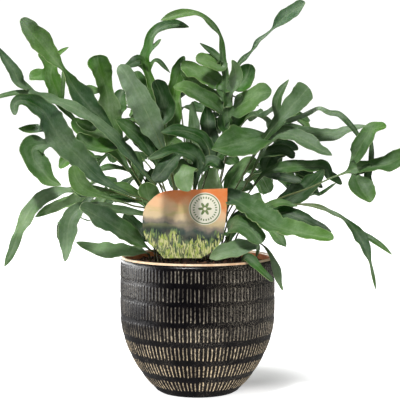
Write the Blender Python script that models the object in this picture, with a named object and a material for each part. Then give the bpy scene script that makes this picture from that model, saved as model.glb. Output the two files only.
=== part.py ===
"""Potted blue star fern: a glazed pot, its soil, a plant tag and one solid for each frond.

Fronds are laid out in millimetres as they look from in front of the pot. A point is given by where it
shows in the upright plane through the pot's axis (across, up) and by how far behind that plane it lies.
"""

import math
import random

import bpy
import numpy as np
from mathutils import Vector
from mathutils.bvhtree import BVHTree

MM = 0.001

# Pot, millimetres
POT_RADIUS = 77.0
POT_HEIGHT = 136.4
WALL = 4.0
RIM_CHAMFER = 1.2
FOOT_RADIUS = 38.0
FLOOR_THICKNESS = 6.0
# Radius of the outside at each height, foot to rim
POT_PROFILE = ((0, 38), (2, 41.5), (6, 45), (13, 51.5), (22, 58), (31, 63.5), (40, 68), (50, 72), (60, 75),
               (72, 77), (90, 77.4), (112, 77.2), (130, 77), (136.4, 76.6))
# Lower and upper edge of each band of upright strokes
BANDS = ((8, 18.5), (24, 36.5), (42, 55.5), (61, 75), (80, 95.5), (99.5, 113), (117.5, 129.5))
# Fewer and bolder than on the real pot
STROKES = 34
STROKE_WIDTH = 3.4
STROKE_RELIEF = 0.9
STROKE_EDGE = 12
BAND_GAP = 2.4

# Soil, millimetres
SOIL_EDGE = 128.0
SOIL_MIDDLE = 131.5
FIT_GAP = 0.3
ROOT_DEPTH = 12.0
STRAIGHT_RISE = 3.0
HOLE_RADIUS = 2.1
HOLE_SIDES = 6

# Fronds, millimetres
EYE_DISTANCE = 1300.0
EYE_HEIGHT = 280.0
STALK_THICK = 1.9
STALK_WIDTH = 2.1
BLADE_THICK = 0.8
BLADE_WIDTH = 7.0
WAVE = 0.9
KEEL = 0.05
LOBE_BASE = 8.0
LOBE_STEP = 17.0
FACING_VIEWER = (0.0, -0.8, 0.6)
CLEARANCE = 0.6
SPOT_SPACING = 5.4
SPOTS_MIDDLE = (-2.0, 9.0)
ROOTS_RADIUS = 24.0
TAG_FREE_BACK = -17.0
SPOT_CHOICES = 3
DEPTH_SHIFTS = (0, -4, 4, -8, 8, -12, 12, -17, 17, -22, 22, -28, 28, -35, 35, -44, 44)
# Ways to settle a lobe, tried in order: how far its end lies back, and its foot's slide along the rib
LOBE_LIFTS = (0, -6, 6, -12, 12, -20, 20, -28, 28)
FOOT_SLIDES = (0, 4, -4, 8, -8)
LOBE_FOOT = 0.42
SEED = 11

# Plant tag, millimetres
TAG_BACK = -24.0
TAG_THICK = 0.8
SPIKE_SIDES = (-8.0, -15.0)
SPIKE_POINT = 6.0
SPIKE_DEPTH = 22.0
TAG_OUTLINE = ((-42, 143), (-51, 151), (-54.5, 163), (-55, 176), (-52, 186), (-45, 194), (-37, 199.5),
               (-27, 202), (30, 204), (29.5, 186), (27, 163), (24, 151), (15, 141), (3, 133.5), (-34, 133.5))

# Each frond: where its stalk leaves the soil, its rib as (across, up, back, width), and its lobes as
# (width, points from the rib outwards). A lobe may end with the direction that its upper face looks in.
FRONDS = (
    ("left_crown", (-16, 4),
     ((-47, 191, 0, 2), (-72, 236, 2, 2.2), (-91, 268, 0, 9), (-106, 284, -3, 18), (-117, 297, -6, 21),
      (-125, 309, -8, 13), (-133, 322, -10, 4.5), (-142, 332, -12, 12), (-151, 343, -15, 19),
      (-160, 354, -20, 21), (-167, 362, -24, 18), (-173, 369, -27, 10), (-176, 372, -29, 0)),
     ((18, ((-79, 249, 2), (-97, 245, -8), (-111, 250, -12), (-119, 260, -14))),
      (13, ((-91, 270, 0), (-104, 266, 6), (-121, 270, 8))))),
    ("left_trident", (-20, 24),
     ((-47, 196, 22, 2), (-87, 239, 30, 2), (-117, 267, 33, 3), (-137, 288, 34, 9), (-141, 303, 34, 15),
      (-146, 316, 33, 16), (-144, 328, 33, 11), (-138, 338, 32, 6), (-128, 345, 31, 0)),
     ((15, ((-146, 314, 33), (-157, 320, 32), (-168, 314, 30))),
      (8, ((-145, 327, 33), (-153, 333, 32), (-158, 339, 31))),
      (4, ((-138, 291, 34), (-134, 306, 35), (-133, 323, 35))))),
    ("left_long", (-26, -4),
     ((-37, 196, -6, 2), (-55, 221, -6, 4), (-71, 242, -8, 11), (-90, 262, -11, 11), (-110, 277, -15, 10),
      (-129, 287, -21, 12), (-149, 294, -29, 10), (-169, 299, -38, 7), (-189, 298, -47, 6),
      (-205, 293, -54, 0)),
     ((11, ((-166, 299, -37), (-177, 310, -44), (-183, 322, -46), (-192, 334, -48), (-200, 347, -50))),)),
    ("left_broad", (-30, -12),
     ((-45, 186, -20, 2), (-68, 198, -28, 3), (-88, 208, -35, 8), (-104, 220, -42, 18),
      (-119, 236, -49, 22), (-134, 250, -54, 25), (-144, 266, -61, 26), (-152, 280, -68, 22),
      (-162, 288, -74, 18), (-173, 292, -80, 13), (-182, 289, -84, 8), (-182, 277, -87, 0)),
     ((10, ((-146, 268, -62), (-164, 263, -66), (-179, 264, -70))),
      (21, ((-139, 257, -58), (-154, 254, -64), (-164, 246, -70), (-164, 234, -74), (-156, 223, -78),
            (-147, 213, -80), (-136, 207, -82))))),
    ("left_round", (-34, -16),
     ((-46, 178, -12, 2), (-66, 187, -36, 2), (-93, 196, -58, 5), (-111, 203, -66, 13),
      (-120, 212, -70, 16), (-123, 220, -71, 12), (-124, 227, -71, 0)),
     ((10, ((-99, 198, -62), (-112, 198, -64), (-126, 204, -62))),)),
    ("left_droop", (-36, -8),
     ((-42, 181, -12, 2), (-65, 194, -32, 2), (-87, 201, -45, 4), (-107, 204, -54, 7),
      (-127, 203, -62, 9), (-147, 199, -70, 12), (-163, 188, -78, 13), (-174, 171, -86, 12),
      (-182, 153, -92, 9), (-187, 139, -95, 8), (-194, 125, -98, 0)),
     ((15, ((-107, 204, -54), (-127, 191, -60), (-146, 185, -64), (-163, 175, -66))),
      (12, ((-86, 201, -45), (-97, 191, -42), (-110, 185, -40))))),
    ("left_low", (-38, -14),
     ((-47, 173, -14, 2), (-59, 179, -30, 7), (-73, 181, -46, 10), (-89, 184, -60, 9), (-104, 187, -72, 8),
      (-117, 184, -82, 11), (-126, 176, -88, 15), (-130, 163, -92, 17), (-131, 148, -95, 13),
      (-132, 137, -97, 6), (-133, 130, -98, 0)),
     ((7, ((-127, 174, -88), (-137, 165, -84), (-138, 151, -84))),)),
    ("left_blade", (-44, -14),
     ((-47, 142, -16, 2), (-56, 149, -28, 12), (-70, 158, -44, 21), (-86, 168, -58, 24),
      (-101, 177, -70, 21), (-111, 182, -78, 14), (-118, 184, -82, 0)),
     ()),
    ("left_rim", (-50, -12),
     ((-52, 140, -18, 4), (-60, 141, -24, 9), (-72, 141, -32, 14), (-86, 141, -40, 15.5),
      (-100, 142, -46, 14), (-111, 145, -50, 9), (-122, 150, -53, 0)),
     ()),
    ("crown_silver", (-10, 0),
     ((-17, 171, -2, 2), (-23, 203, -4, 2), (-30, 231, -8, 3), (-38, 251, -14, 11), (-44, 264, -19, 20),
      (-50, 278, -24, 24), (-57, 292, -29, 24), (-65, 307, -33, 21), (-72, 319, -36, 15),
      (-78, 327, -37, 0)),
     ((16, ((-28, 225, -7), (-45, 241, -4), (-59, 257, -4), (-70, 273, -4))),)),
    ("crown_tall", (-6, 12),
     ((-15, 176, 10, 2), (-24, 219, 12, 2.2), (-32, 256, 14, 4), (-40, 286, 12, 7), (-46, 308, 10, 9),
      (-51, 323, 8, 8), (-53, 334, 7, 9), (-49, 345, 6, 11), (-46, 353, 4, 11), (-41, 361, 0, 12),
      (-33, 366, -5, 12), (-23, 367, -10, 9), (-8, 364.5, -16, 0)),
     ((13, ((-50, 325, 8), (-57, 332, 0), (-66, 328, -6), (-76, 321, -10))),
      (5, ((-50, 327, 8), (-41, 332, 2), (-34, 326, 0), (-27, 319, -1))),
      (5, ((-47, 346, 6), (-36, 352.5, 4))),
      (20, ((-36, 272, 13), (-32, 281, 4), (-36, 296, 0), (-43, 312, -2))),
      (13, ((-30, 251, 14), (-23, 272, 18), (-24, 296, 20), (-19, 318, 20), (-13, 336, 18))),
      (12, ((-44, 300, 11), (-56, 308, 16), (-62, 321, 18))))),
    ("crown_centre", (4, 6),
     ((8, 176, 6, 2), (17, 209, 6, 2), (25, 241, 4, 3), (29, 269, 0, 7), (30, 291, -2, 8),
      (28.5, 313, -4, 6.5), (26, 329, -5, 6.5), (24.5, 341, -5, 6), (24, 350, -6, 4.5),
      (22.5, 357, -7, 2.4), (18, 363, -9, 5.5), (10, 371, -13, 6.5), (1, 376.5, -17, 7.5),
      (-12, 378.5, -20, 9), (-24, 375.5, -23, 8), (-37, 371, -26, 0)),
     ((6, ((24, 338, -5), (12, 342, -6), (2, 349, -7))),
      (16, ((25, 326, -5), (12, 331, -10), (-2, 333, -15))),
      (20, ((28, 306, -4), (14, 313, 2), (1, 320, 4), (-9, 325, 4), (-17, 325, 4))),
      (10, ((29, 294, -2), (11, 301, 10), (-4, 310, 14), (-16, 318, 16))),
      (16, ((30, 281, -1), (14, 291, -12), (-1, 299, -17), (-12, 305, -20), (-24, 305, -22))),
      (14, ((30, 294, -2), (36, 307, -12), (38, 320, -16), (34, 332, -18))),
      (20, ((29, 306, -3), (40, 305, 6), (49, 316, 8), (53, 328, 8))),
      (24, ((30, 279, -1), (46, 289, -14), (60, 297, -22), (74, 300, -28))),
      (16, ((29, 264, 0), (44, 283, 10), (56, 299, 14), (65, 308, 14))))),
    ("right_whip", (10, 14),
     ((15, 179, 16, 2), (25, 219, 20, 2), (31, 256, 20, 2), (34, 291, 18, 2), (36, 311, 14, 2),
      (41, 328, 10, 4), (47, 334, 8, 6), (54, 341, 4, 2), (60, 350, 0, 7), (67, 356, -4, 4),
      (74, 362, -8, 2), (81, 370, -11, 11), (90, 377, -15, 15), (99, 383, -19, 13), (107, 389, -23, 0)),
     ()),
    ("right_fork", (14, 4),
     ((25, 177, 0, 2), (41, 209, -4, 2), (57, 238, -6, 3), (71, 259, -8, 7), (81, 271, -11, 12),
      (92, 284, -15, 20), (102, 295, -19, 22), (107, 301, -21, 20), (111, 305, -22, 0)),
     ((38, ((70, 258, -8), (56, 255, -24), (37, 249, -36), (14, 243, -44))),
      (9, ((82, 275, -11), (79, 288, -6), (83, 301, -5), (91, 313, -4))),
      (6, ((84, 275, -13), (101, 275, -8), (113, 280.5, -11), (122, 284, -15), (131, 280, -19),
           (140, 279, -22), (147, 273.5, -26), (156, 264, -29), (164, 252, -31))))),
    ("right_silver", (18, 0),
     ((29, 175, -4, 2), (47, 205, -8, 2), (60, 231, -12, 3), (68, 247, -15, 6), (78, 258, -19, 12),
      (93, 259, -27, 14), (108, 252, -37, 16), (121, 244, -45, 11), (135, 237, -51, 0)),
     ((16, ((73, 252, -16), (88, 264, -10), (106, 259, -6), (124, 257, -12), (139, 259, -20),
            (154, 264, -27), (170, 267, -33))),
      (14, ((64, 239, -14), (81, 241, -4), (98, 238, 0))))),
    ("right_dark", (22, 8),
     ((31, 171, 4, 2), (51, 199, 6, 2), (65, 217, 4, 4), (81, 224, 0, 11), (98, 226, -8, 14),
      (114, 226, -16, 14), (125, 226, -22, 13), (131, 221, -25, 9), (131, 213, -26, 0)),
     ((9, ((69, 219, 3), (80, 216, -12), (92, 214, -20), (104, 211, -26))),
      (18, ((69, 219, 3), (73, 235, 12), (86, 245, 16), (101, 243, 16))))),
    ("right_far", (26, -2),
     ((35, 165, -6, 2), (59, 184, -14, 2), (85, 195, -24, 2), (111, 204, -34, 2), (135, 215, -44, 2),
      (149, 220, -50, 3), (157, 224, -54, 12), (169, 226, -58, 12), (182, 227, -62, 14),
      (191, 229, -65, 18), (200, 233, -68, 18), (209, 239, -70, 12), (216, 243, -71, 0)),
     ((15, ((157, 224, -54), (159, 239, -62), (167, 253, -68), (176, 263, -72), (189, 266, -76))),
      (21, ((157, 224, -54), (160, 212, -60), (166, 201, -66), (174, 190, -70))),
      (5, ((172, 226, -58), (174, 239, -52), (174, 253, -50))),
      (7, ((172, 226, -58), (170, 215, -54), (175, 204, -54))))),
    ("right_dark_fork", (28, -4),
     ((36, 162, -5, 2), (51, 175, -7, 2), (68, 183, -11, 3), (84, 190, -16, 12), (99, 198, -22, 22),
      (113, 208, -28, 19), (122, 217, -32, 10), (127, 223, -34, 0)),
     ((12, ((90, 193, -18), (95, 207, -12), (102, 217, -10))),)),
    ("right_front", (8, -10),
     ((13, 165, -10, 2), (18, 183, -12, 4), (28, 195, -14, 13), (38, 193, -21, 18), (48, 187, -34, 21),
      (61, 178, -52, 23), (78, 167, -74, 20), (96, 162, -88, 17), (115, 158, -100, 15),
      (129, 155, -108, 10), (137, 153, -112, 0)),
     ((10, ((78, 167, -72), (82, 156, -74), (89, 145, -75))),
      (8, ((60, 179, -58), (75, 188, -46), (87, 190, -44), (101, 186, -44))),
      (12, ((43, 190, -38), (53, 201, -36), (65, 194, -34))))),
    ("right_wavy", (22, -16),
     ((33, 155, -16, 5), (38, 168, -22, 15), (50, 177, -29, 19), (66, 180, -34, 18), (84, 180, -39, 15),
      (101, 175, -46, 14), (118, 167, -54, 11), (135, 160, -62, 0)),
     ()),
    ("right_trail", (30, -6),
     ((41, 159, -12, 2), (63, 177, -20, 2), (84, 186, -30, 2), (103, 188, -38, 2.2), (119, 186, -46, 4.5),
      (134, 180, -54, 5.5), (146, 174, -60, 3), (155, 166, -64, 7), (164, 154, -68, 11),
      (170, 141, -72, 8), (174, 129, -74, 2), (177, 115, -76, 3), (180, 101, -78, 0)),
     ((6, ((164, 154, -69), (179, 150, -74), (187, 144, -78), (196, 137, -82))),)),
    ("front_blade", (56, -30),
     ((61, 142, -40, 3), (59, 147, -44, 9), (48, 145, -50, 15), (34, 142, -56, 17), (22, 138, -60, 12),
      (12, 133, -63, 0)),
     ()),
    ("front_drip", (44, -50),
     ((45, 130, -55, 3), (49, 135, -62, 8), (55, 131, -70, 9), (62, 124, -77, 7), (69, 117, -81, 6),
      (76, 110, -84, 0)),
     ()),
    ("right_hang", (46, -8),
     ((53, 151, -10, 2), (64, 148, -14, 2), (71, 141, -20, 3), (76, 132, -27, 5), (79.5, 122, -32, 8),
      (81, 114, -35, 7), (83.5, 107, -36, 3), (86, 101, -37, 0)),
     ()),
    ("centre_arch", (0, -4),
     ((-1, 169, -8, 2), (4, 199, -10, 2), (10, 223, -12, 3), (12, 240, -14, 12), (5, 253, -17, 16),
      (-8, 260, -22, 15), (-22, 262, -28, 11), (-37, 260, -34, 0)),
     ((10, ((11, 232, -13), (25, 241, -6), (36, 254, -4))),
      (15, ((13, 241, -14), (12, 258, 8), (10, 272, 18), (9, 286, 22))),
      (11, ((10, 231, -13), (-1, 254, 12), (-4, 273, 22), (-5, 291, 26))))),
    ("centre_wave", (-6, -8),
     ((-7, 167, -12, 2), (-4, 195, -16, 2), (0, 221, -19, 7), (0, 233, -22, 17), (-10, 240, -26, 18),
      (-24, 242, -32, 13), (-37, 238, -38, 8), (-50, 233, -42, 0)),
     ((16, ((-14, 243, -28), (-27, 231, -36), (-37, 219, -42), (-45, 212, -46))),
      (20, ((0, 224, -20), (-11, 227, -34), (-14, 215, -42), (-8, 201, -46))),
      (14, ((0, 224, -20), (13, 231, -18), (25, 223, -22))))),
    ("tag_leaf", (8, -4),
     ((11, 159, -12, 2), (12, 177, -19, 14), (12, 195, -20, 24), (13, 208, -18, 22), (14, 218, -15, 14),
      (14, 225, -12, 0)),
     ()),
    ("left_tag_leaf", (-14, -14),
     ((-25, 165, -8, 2), (-36, 179, -8, 8), (-45, 190, -8, 18), (-50, 200, -10, 19), (-52, 210, -12, 0)),
     ()),
    ("left_middle", (-24, -12),
     ((-35, 165, -12, 2), (-47, 181, -18, 2), (-58, 194, -30, 9), (-67, 203, -42, 17), (-78, 205, -50, 17),
      (-88, 202, -55, 0)),
     ()),
    ("green_edge", (-18, -4),
     ((-19, 167, -8, 2), (-32, 201, -10, 2), (-41, 228, -12, 4), (-50, 245, -14, 13), (-60, 257, -16, 16),
      (-71, 266, -18, 13), (-82, 273, -20, 0)),
     ()),
    ("right_under", (20, -14),
     ((29, 151, -14, 3), (30, 161, -20, 12), (37, 168, -29, 21), (49, 165, -38, 22), (58, 157, -45, 16),
      (65, 149, -50, 0)),
     ()),
    ("centre_right", (14, 8),
     ((19, 170, 8, 2), (27, 196, 10, 4), (35, 214, 10, 14), (46, 226, 8, 16), (60, 232, 5, 0)),
     ((11, ((31, 204, 10), (44, 206, 4), (56, 204, -1))),)),
    ("left_shade", (-18, 14),
     ((-35, 172, 14, 2), (-54, 200, 20, 2), (-68, 222, 24, 3), (-80, 240, 27, 12), (-91, 251, 29, 20),
      (-104, 257, 31, 23), (-116, 264, 33, 17), (-124, 274, 34, 0)),
     ((12, ((-58, 206, 21), (-60, 224, 30), (-61, 241, 34))),
      (12, ((-52, 197, 19), (-46, 210, 22), (-45, 224, 23))))),
    ("left_foot", (-32, -6),
     ((-47, 150, -10, 3), (-55, 156, -16, 12), (-61, 164, -22, 17), (-68, 172, -28, 14), (-75, 177, -31, 0)),
     ()),
    ("left_upright", (-14, 12),
     ((-40, 192, 13, 2), (-60, 223, 15, 2), (-74, 246, 14, 4), (-82, 259, 11, 14), (-87, 273, 8, 22),
      (-89, 288, 4, 22), (-91, 302, 0, 13), (-94, 313, -5, 17), (-97, 325, -9, 21), (-99, 332, -11, 19),
      (-100, 337, -12, 0)),
     ((12, ((-90, 298, 2), (-101, 305, -4), (-113, 303, -8))),
      (13, ((-87, 272, 8), (-78, 286, 10), (-75, 303, 10))))),
)

# Fronds on the far side, by rule: compass angle from straight back, reach and height in millimetres
REAR_FRONDS = ((-78, 112, 198), (-62, 126, 250), (-48, 95, 288), (-33, 165, 222), (-16, 124, 316),
               (-3, 160, 262), (12, 100, 305), (27, 168, 232), (46, 125, 285), (60, 150, 232),
               (78, 104, 222))


def seen(across, up, back):
    """The place in space of a point by where it shows from in front of the pot."""
    scale = (EYE_DISTANCE + back) / EYE_DISTANCE
    return Vector((across * scale, back, EYE_HEIGHT + (up - EYE_HEIGHT) * scale))


def shown(place):
    """Where a place in space shows from in front of the pot, and how far back it lies."""
    scale = EYE_DISTANCE / (EYE_DISTANCE + place.y)
    return (place.x * scale, EYE_HEIGHT + (place.z - EYE_HEIGHT) * scale, place.y)


def soil_height(x, y):
    """The soil is a low mound."""
    middle = max(0.0, 1.0 - math.hypot(x, y) / POT_RADIUS)
    return SOIL_EDGE + (SOIL_MIDDLE - SOIL_EDGE) * min(1.0, 1.6 * middle)


class Line:
    """A smooth curve through points, with values carried along it, read by length."""

    def __init__(self, points, values):
        points = [Vector(point) for point in points]
        ends = [2 * points[0] - points[1], *points, 2 * points[-1] - points[-2]]
        self.fine = []
        self.knots = []
        steps = 12
        for before, start, end, after in zip(ends, ends[1:], ends[2:], ends[3:]):
            self.knots.append(len(self.fine))
            for step in range(steps):
                t = step / steps
                pull = (end - before) * t * (1 - t) ** 2 - (after - start) * t * t * (1 - t)
                self.fine.append(start + (end - start) * (3 * t * t - 2 * t ** 3) + pull * 0.5)
        self.knots.append(len(self.fine))
        self.fine.append(points[-1])
        self.reach = [0.0]
        for start, end in zip(self.fine, self.fine[1:]):
            self.reach.append(self.reach[-1] + (end - start).length)
        self.length = self.reach[-1]
        self.knot_reach = [self.reach[knot] for knot in self.knots]
        self.values = values

    def point(self, reach):
        place = min(max(np.searchsorted(self.reach, reach) - 1, 0), len(self.fine) - 2)
        span = self.reach[place + 1] - self.reach[place]
        return self.fine[place].lerp(self.fine[place + 1], (reach - self.reach[place]) / span)

    def direction(self, reach):
        step = min(3.0, self.length / 8)
        return (self.point(min(reach + step, self.length)) - self.point(max(reach - step, 0))).normalized()

    def value(self, reach):
        return float(np.interp(reach, self.knot_reach, self.values))

    def nearest(self, place):
        found = min(range(len(self.fine)), key=lambda index: (self.fine[index] - place).length_squared)
        return self.reach[found]


def lobe_width(part):
    """Share of a lobe's full width at a share of its length: narrow foot, full middle, round point."""
    if part < 0.5:
        rise = part / 0.5
        return LOBE_FOOT + (1 - LOBE_FOOT) * rise * (2 - rise)
    return max(0.0, 1 - ((part - 0.5) / 0.5) ** 2.3) ** 0.7


def row(line, reach, width, facing, wave, extra):
    """Three places across a blade: one edge, the rib and the other edge."""
    middle = line.point(reach)
    side = line.direction(reach).cross(facing).normalized()
    up = side.cross(line.direction(reach))
    half = width / 2 + extra
    lift = KEEL * width
    tilt = WAVE * wave * min(1.0, width / 16)
    return [middle - side * half + up * (lift - tilt), middle, middle + side * half + up * (lift + tilt)]


def rib_stations(rib, bases):
    """Lengths along the rib where it has a row: its own points, and three for each pair of lobes."""
    stations = []
    for reach in rib.knot_reach[:-1]:
        if all(abs(reach - base) > LOBE_BASE / 2 + 2.5 for base in bases):
            stations.append(reach)
    for base in bases:
        stations += [base - LOBE_BASE / 2, base, base + LOBE_BASE / 2]
    return sorted(stations)


def frond_surface(frond, root, shift, settings, extra):
    """Points, triangles and thicknesses of one frond's middle surface."""
    _, _, spine, lobes = frond[:4]
    top = Vector((root[0], root[1], soil_height(*root)))
    ramp = [min(1.0, (index + 1) / 3) for index in range(len(spine))]
    places = [top - Vector((0, 0, ROOT_DEPTH)), top + Vector((0, 0, STRAIGHT_RISE))]
    places += [seen(u, v, w + shift * part) for (u, v, w, _), part in zip(spine, ramp)]
    rib = Line(places, [STALK_WIDTH, STALK_WIDTH, *[max(width, STALK_WIDTH) for *_, width in spine[:-1]], 0])
    facing = Vector(frond[4] if len(frond) > 4 else FACING_VIEWER).normalized()

    lobe_lines = []
    bases = []
    for lobe, (lift, slide) in zip(lobes, settings):
        width, route = lobe[:2]
        last = len(route) - 1
        route = [seen(u, v, w + shift + lift * step / last) for step, (u, v, w) in enumerate(route)]
        base = rib.nearest(route[0]) + slide
        base = next((other for other in bases if abs(other - base) < LOBE_BASE), base)
        if base not in bases:
            bases.append(base)
        beyond = rib.value(base) / 2 + LOBE_BASE / 2
        route = [place for place in route[:-1] if (place - rib.point(base)).length > beyond] + route[-1:]
        lobe_lines.append((base, width, route, Vector(lobe[2]).normalized() if len(lobe) > 2 else facing))

    points = []
    thick = []
    faces = []

    def add_row(places, thickness):
        first = len(points)
        points.extend(places)
        thick.extend([thickness] * len(places))
        return list(range(first, first + len(places)))

    def join(lower, upper):
        for place in range(2):
            left, right = lower[place], lower[place + 1]
            if len(upper) == 1:
                faces.append((left, right, upper[0]))
            else:
                faces.append((left, right, upper[place + 1]))
                faces.append((left, upper[place + 1], upper[place]))

    def thickness_at(width):
        blade = min(max((width - STALK_WIDTH) / (BLADE_WIDTH - STALK_WIDTH), 0.0), 1.0)
        return STALK_THICK + (BLADE_THICK - STALK_THICK) * blade + 2 * extra

    stations = rib_stations(rib, bases)
    rows = []
    for index, reach in enumerate(stations):
        width = rib.value(reach)
        wave = (-1) ** index if width > BLADE_WIDTH else 0
        rows.append(add_row(row(rib, reach, width, facing, wave, extra), thickness_at(width)))
    rows.append(add_row([rib.point(rib.length)], thickness_at(BLADE_WIDTH)))
    for lower, upper in zip(rows, rows[1:]):
        join(lower, upper)

    for base, width, route, lobe_facing in lobe_lines:
        middle = stations.index(base)
        side = rib.direction(base).cross(facing)
        right = (route[0] - rib.point(base)).dot(side) > 0
        first = [rows[middle + step][2 if right else 0] for step in ((1, 0, -1) if right else (-1, 0, 1))]
        line = Line([points[first[1]], *route], [0] * (len(route) + 1))
        count = max(3, round(line.length / LOBE_STEP))
        lower = first
        for step in range(1, count):
            part = step / count
            wide = width * lobe_width(part)
            places = row(line, part * line.length, wide, lobe_facing, (-1) ** step, extra)
            upper = add_row(places, thickness_at(BLADE_WIDTH))
            join(lower, upper)
            lower = upper
        join(lower, add_row([line.point(line.length)], thickness_at(BLADE_WIDTH)))
    return points, thick, faces


def thickened(points, thick, faces):
    """A closed solid: the surface moved out on both sides, with the same triangles, and its edge closed."""
    normals = [Vector((0, 0, 0)) for _ in points]
    for a, b, c in faces:
        normal = (points[b] - points[a]).cross(points[c] - points[a])
        for corner in (a, b, c):
            normals[corner] += normal
    half = [normal.normalized() * (size / 2) for normal, size in zip(normals, thick)]
    count = len(points)
    solid_points = [point + step for point, step in zip(points, half)]
    solid_points += [point - step for point, step in zip(points, half)]
    solid_faces = list(faces) + [(a + count, c + count, b + count) for a, b, c in faces]
    edges = {(start, end) for a, b, c in faces for start, end in ((a, b), (b, c), (c, a))}
    for start, end in sorted(edges):
        if (end, start) not in edges:
            solid_faces.append((end, start, start + count))
            solid_faces.append((end, start + count, end + count))
    return solid_points, solid_faces


def rear_frond(index, angle, reach, height):
    """A frond on the far side: it rises, arches outwards and carries lobes in turn on both sides."""
    draw = random.Random(SEED + index)
    angle = math.radians(angle)
    outward = Vector((math.sin(angle), math.cos(angle), 0))
    across = Vector((math.cos(angle), -math.sin(angle), 0))
    root = outward * ROOTS_RADIUS + Vector((SPOTS_MIDDLE[0], SPOTS_MIDDLE[1], 0))
    drop = 0.2 * reach
    rise = ((0.1, 0.5, 2), (0.28, 0.78, 2.2), (0.5, 0.95, 6), (0.72, 1.0, 9), (0.9, 0.97, 13), (1.0, 0.9, 9))
    rib = []
    for out, up, width in rise:
        place = root + outward * (reach - ROOTS_RADIUS) * out
        place.z = SOIL_MIDDLE + (height - SOIL_MIDDLE) * up - drop * out * out * out
        rib.append((*shown(place), width))
    tip = root + outward * reach
    tip.z = SOIL_MIDDLE + (height - SOIL_MIDDLE) * 0.72
    rib.append((*shown(tip), 0))

    lobes = []
    facing = tuple(outward * -0.3 + Vector((0, 0, 0.95)))
    for out, sides, length in ((0.4, (-1,), 62), (0.56, (1,), 60), (0.7, (-1,), 52), (0.86, (1,), 44)):
        foot = root + outward * (reach - ROOTS_RADIUS) * out
        foot.z = SOIL_MIDDLE + (height - SOIL_MIDDLE) * min(1.0, 0.55 + 0.8 * out) - drop * out ** 3
        for side in sides:
            side *= (-1) ** index
            long = length * draw.uniform(0.85, 1.1)
            middle = foot + across * side * long * 0.5 + outward * long * 0.34 + Vector((0, 0, 5))
            end = foot + across * side * long * 0.86 + outward * long * 0.62
            end.z -= draw.uniform(4, 18)
            lobes.append((draw.uniform(13, 17), (shown(foot), shown(middle), shown(end)), facing))
    return (f"rear_{index + 1:02d}", tuple(root.xy), tuple(rib), tuple(lobes), facing)


def root_spots():
    """Places where stalks leave the soil: a spiral of even spacing, kept behind the plant tag."""
    spots = []
    for turn in range(75):
        radius = SPOT_SPACING * math.sqrt(turn + 0.5)
        angle = turn * math.radians(137.508)
        spot = (SPOTS_MIDDLE[0] + radius * math.cos(angle), SPOTS_MIDDLE[1] + radius * math.sin(angle))
        if spot[1] > TAG_FREE_BACK:
            spots.append(spot)
    return spots


def spots_for(frond, free):
    """The free spots nearest to where a frond's stalk would leave the soil."""
    wish = frond[1]
    if wish[1] < TAG_FREE_BACK or wish[0] > 40:
        return [wish]
    return sorted(free, key=lambda spot: math.dist(spot, wish))[:SPOT_CHOICES]


def faults(points, faces):
    """How many pairs of faces cross without a shared corner, and how many edges carry too many faces."""
    tree = BVHTree.FromPolygons(points, faces)
    crossings = sum(1 for one, two in tree.overlap(tree) if one < two and not set(faces[one]) & set(faces[two]))
    edges = [edge for a, b, c in faces for edge in ((a, b), (b, c), (c, a))]
    return crossings + len(edges) - len(set(edges))


def settled_lobes(frond, spot):
    """For each lobe in turn, the lift and slide with which it crosses no earlier one."""
    choices = sorted(((lift, slide) for lift in LOBE_LIFTS for slide in FOOT_SLIDES),
                     key=lambda choice: abs(choice[0]) + abs(choice[1]))
    settings = []
    for _ in frond[3]:
        best = None
        for choice in choices:
            test = frond_surface(frond, spot, 0, (*settings, choice), 0.0)
            found = faults(*thickened(*test))
            if best is None or found < best[0]:
                best = (found, choice)
            if not found:
                break
        settings.append(best[1])
    return settings


def laid_fronds(obstacles):
    """Each frond's solid, in order. One that would cross another is bent clear of it along the line of sight."""
    free = root_spots()
    trees = list(obstacles)
    laid = []
    for frond in (*FRONDS, *(rear_frond(index, *rule) for index, rule in enumerate(REAR_FRONDS))):
        spots = spots_for(frond, free)
        settings = settled_lobes(frond, spots[0])
        best = None
        for shift in DEPTH_SHIFTS:
            for spot in spots:
                test = thickened(*frond_surface(frond, spot, shift, settings, CLEARANCE))
                tree = BVHTree.FromPolygons(*test)
                clashes = sum(len(tree.overlap(other)) for other in trees)
                if not clashes:
                    clashes = faults(*thickened(*frond_surface(frond, spot, shift, settings, 0.0)))
                if best is None or clashes < best[0]:
                    best = (clashes, shift, spot)
                if not clashes:
                    break
            if not best[0]:
                break
        clashes, shift, spot = best
        if spot in free:
            free.remove(spot)
        solid = thickened(*frond_surface(frond, spot, shift, settings, 0.0))
        trees.append(BVHTree.FromPolygons(*solid))
        laid.append((frond[0], solid, spot))
    return laid


def material(name, colour, roughness):
    """A plain Principled material of one colour."""
    made = bpy.data.materials.new(name)
    made.use_nodes = True
    shader = made.node_tree.nodes["Principled BSDF"]
    shader.inputs["Base Color"].default_value = (*colour, 1)
    shader.inputs["Roughness"].default_value = roughness
    return made


def add_object(name, points, faces, finish, edge=40):
    """A mesh object from points in millimetres, smooth but for edges sharper than an angle in degrees."""
    mesh = bpy.data.meshes.new(name)
    mesh.from_pydata([tuple(MM * value for value in point) for point in points], [], faces)
    mesh.validate()
    mesh.shade_smooth()
    mesh.set_sharp_from_angle(angle=math.radians(edge))
    mesh.materials.append(finish)
    made = bpy.data.objects.new(name, mesh)
    bpy.context.scene.collection.objects.link(made)
    return made


def profile_radius(height):
    """Radius of the pot's outside at a height."""
    heights, radii = zip(*POT_PROFILE)
    return float(np.interp(height, heights, radii))


def round_place(radius, angle, height):
    """A point round the pot's axis, with its angle from the front."""
    return (radius * math.sin(angle), -radius * math.cos(angle), height)


def ring(radius, height):
    """One point round the pot for each stroke."""
    return [round_place(radius, 2 * math.pi * index / STROKES, height) for index in range(STROKES)]


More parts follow.
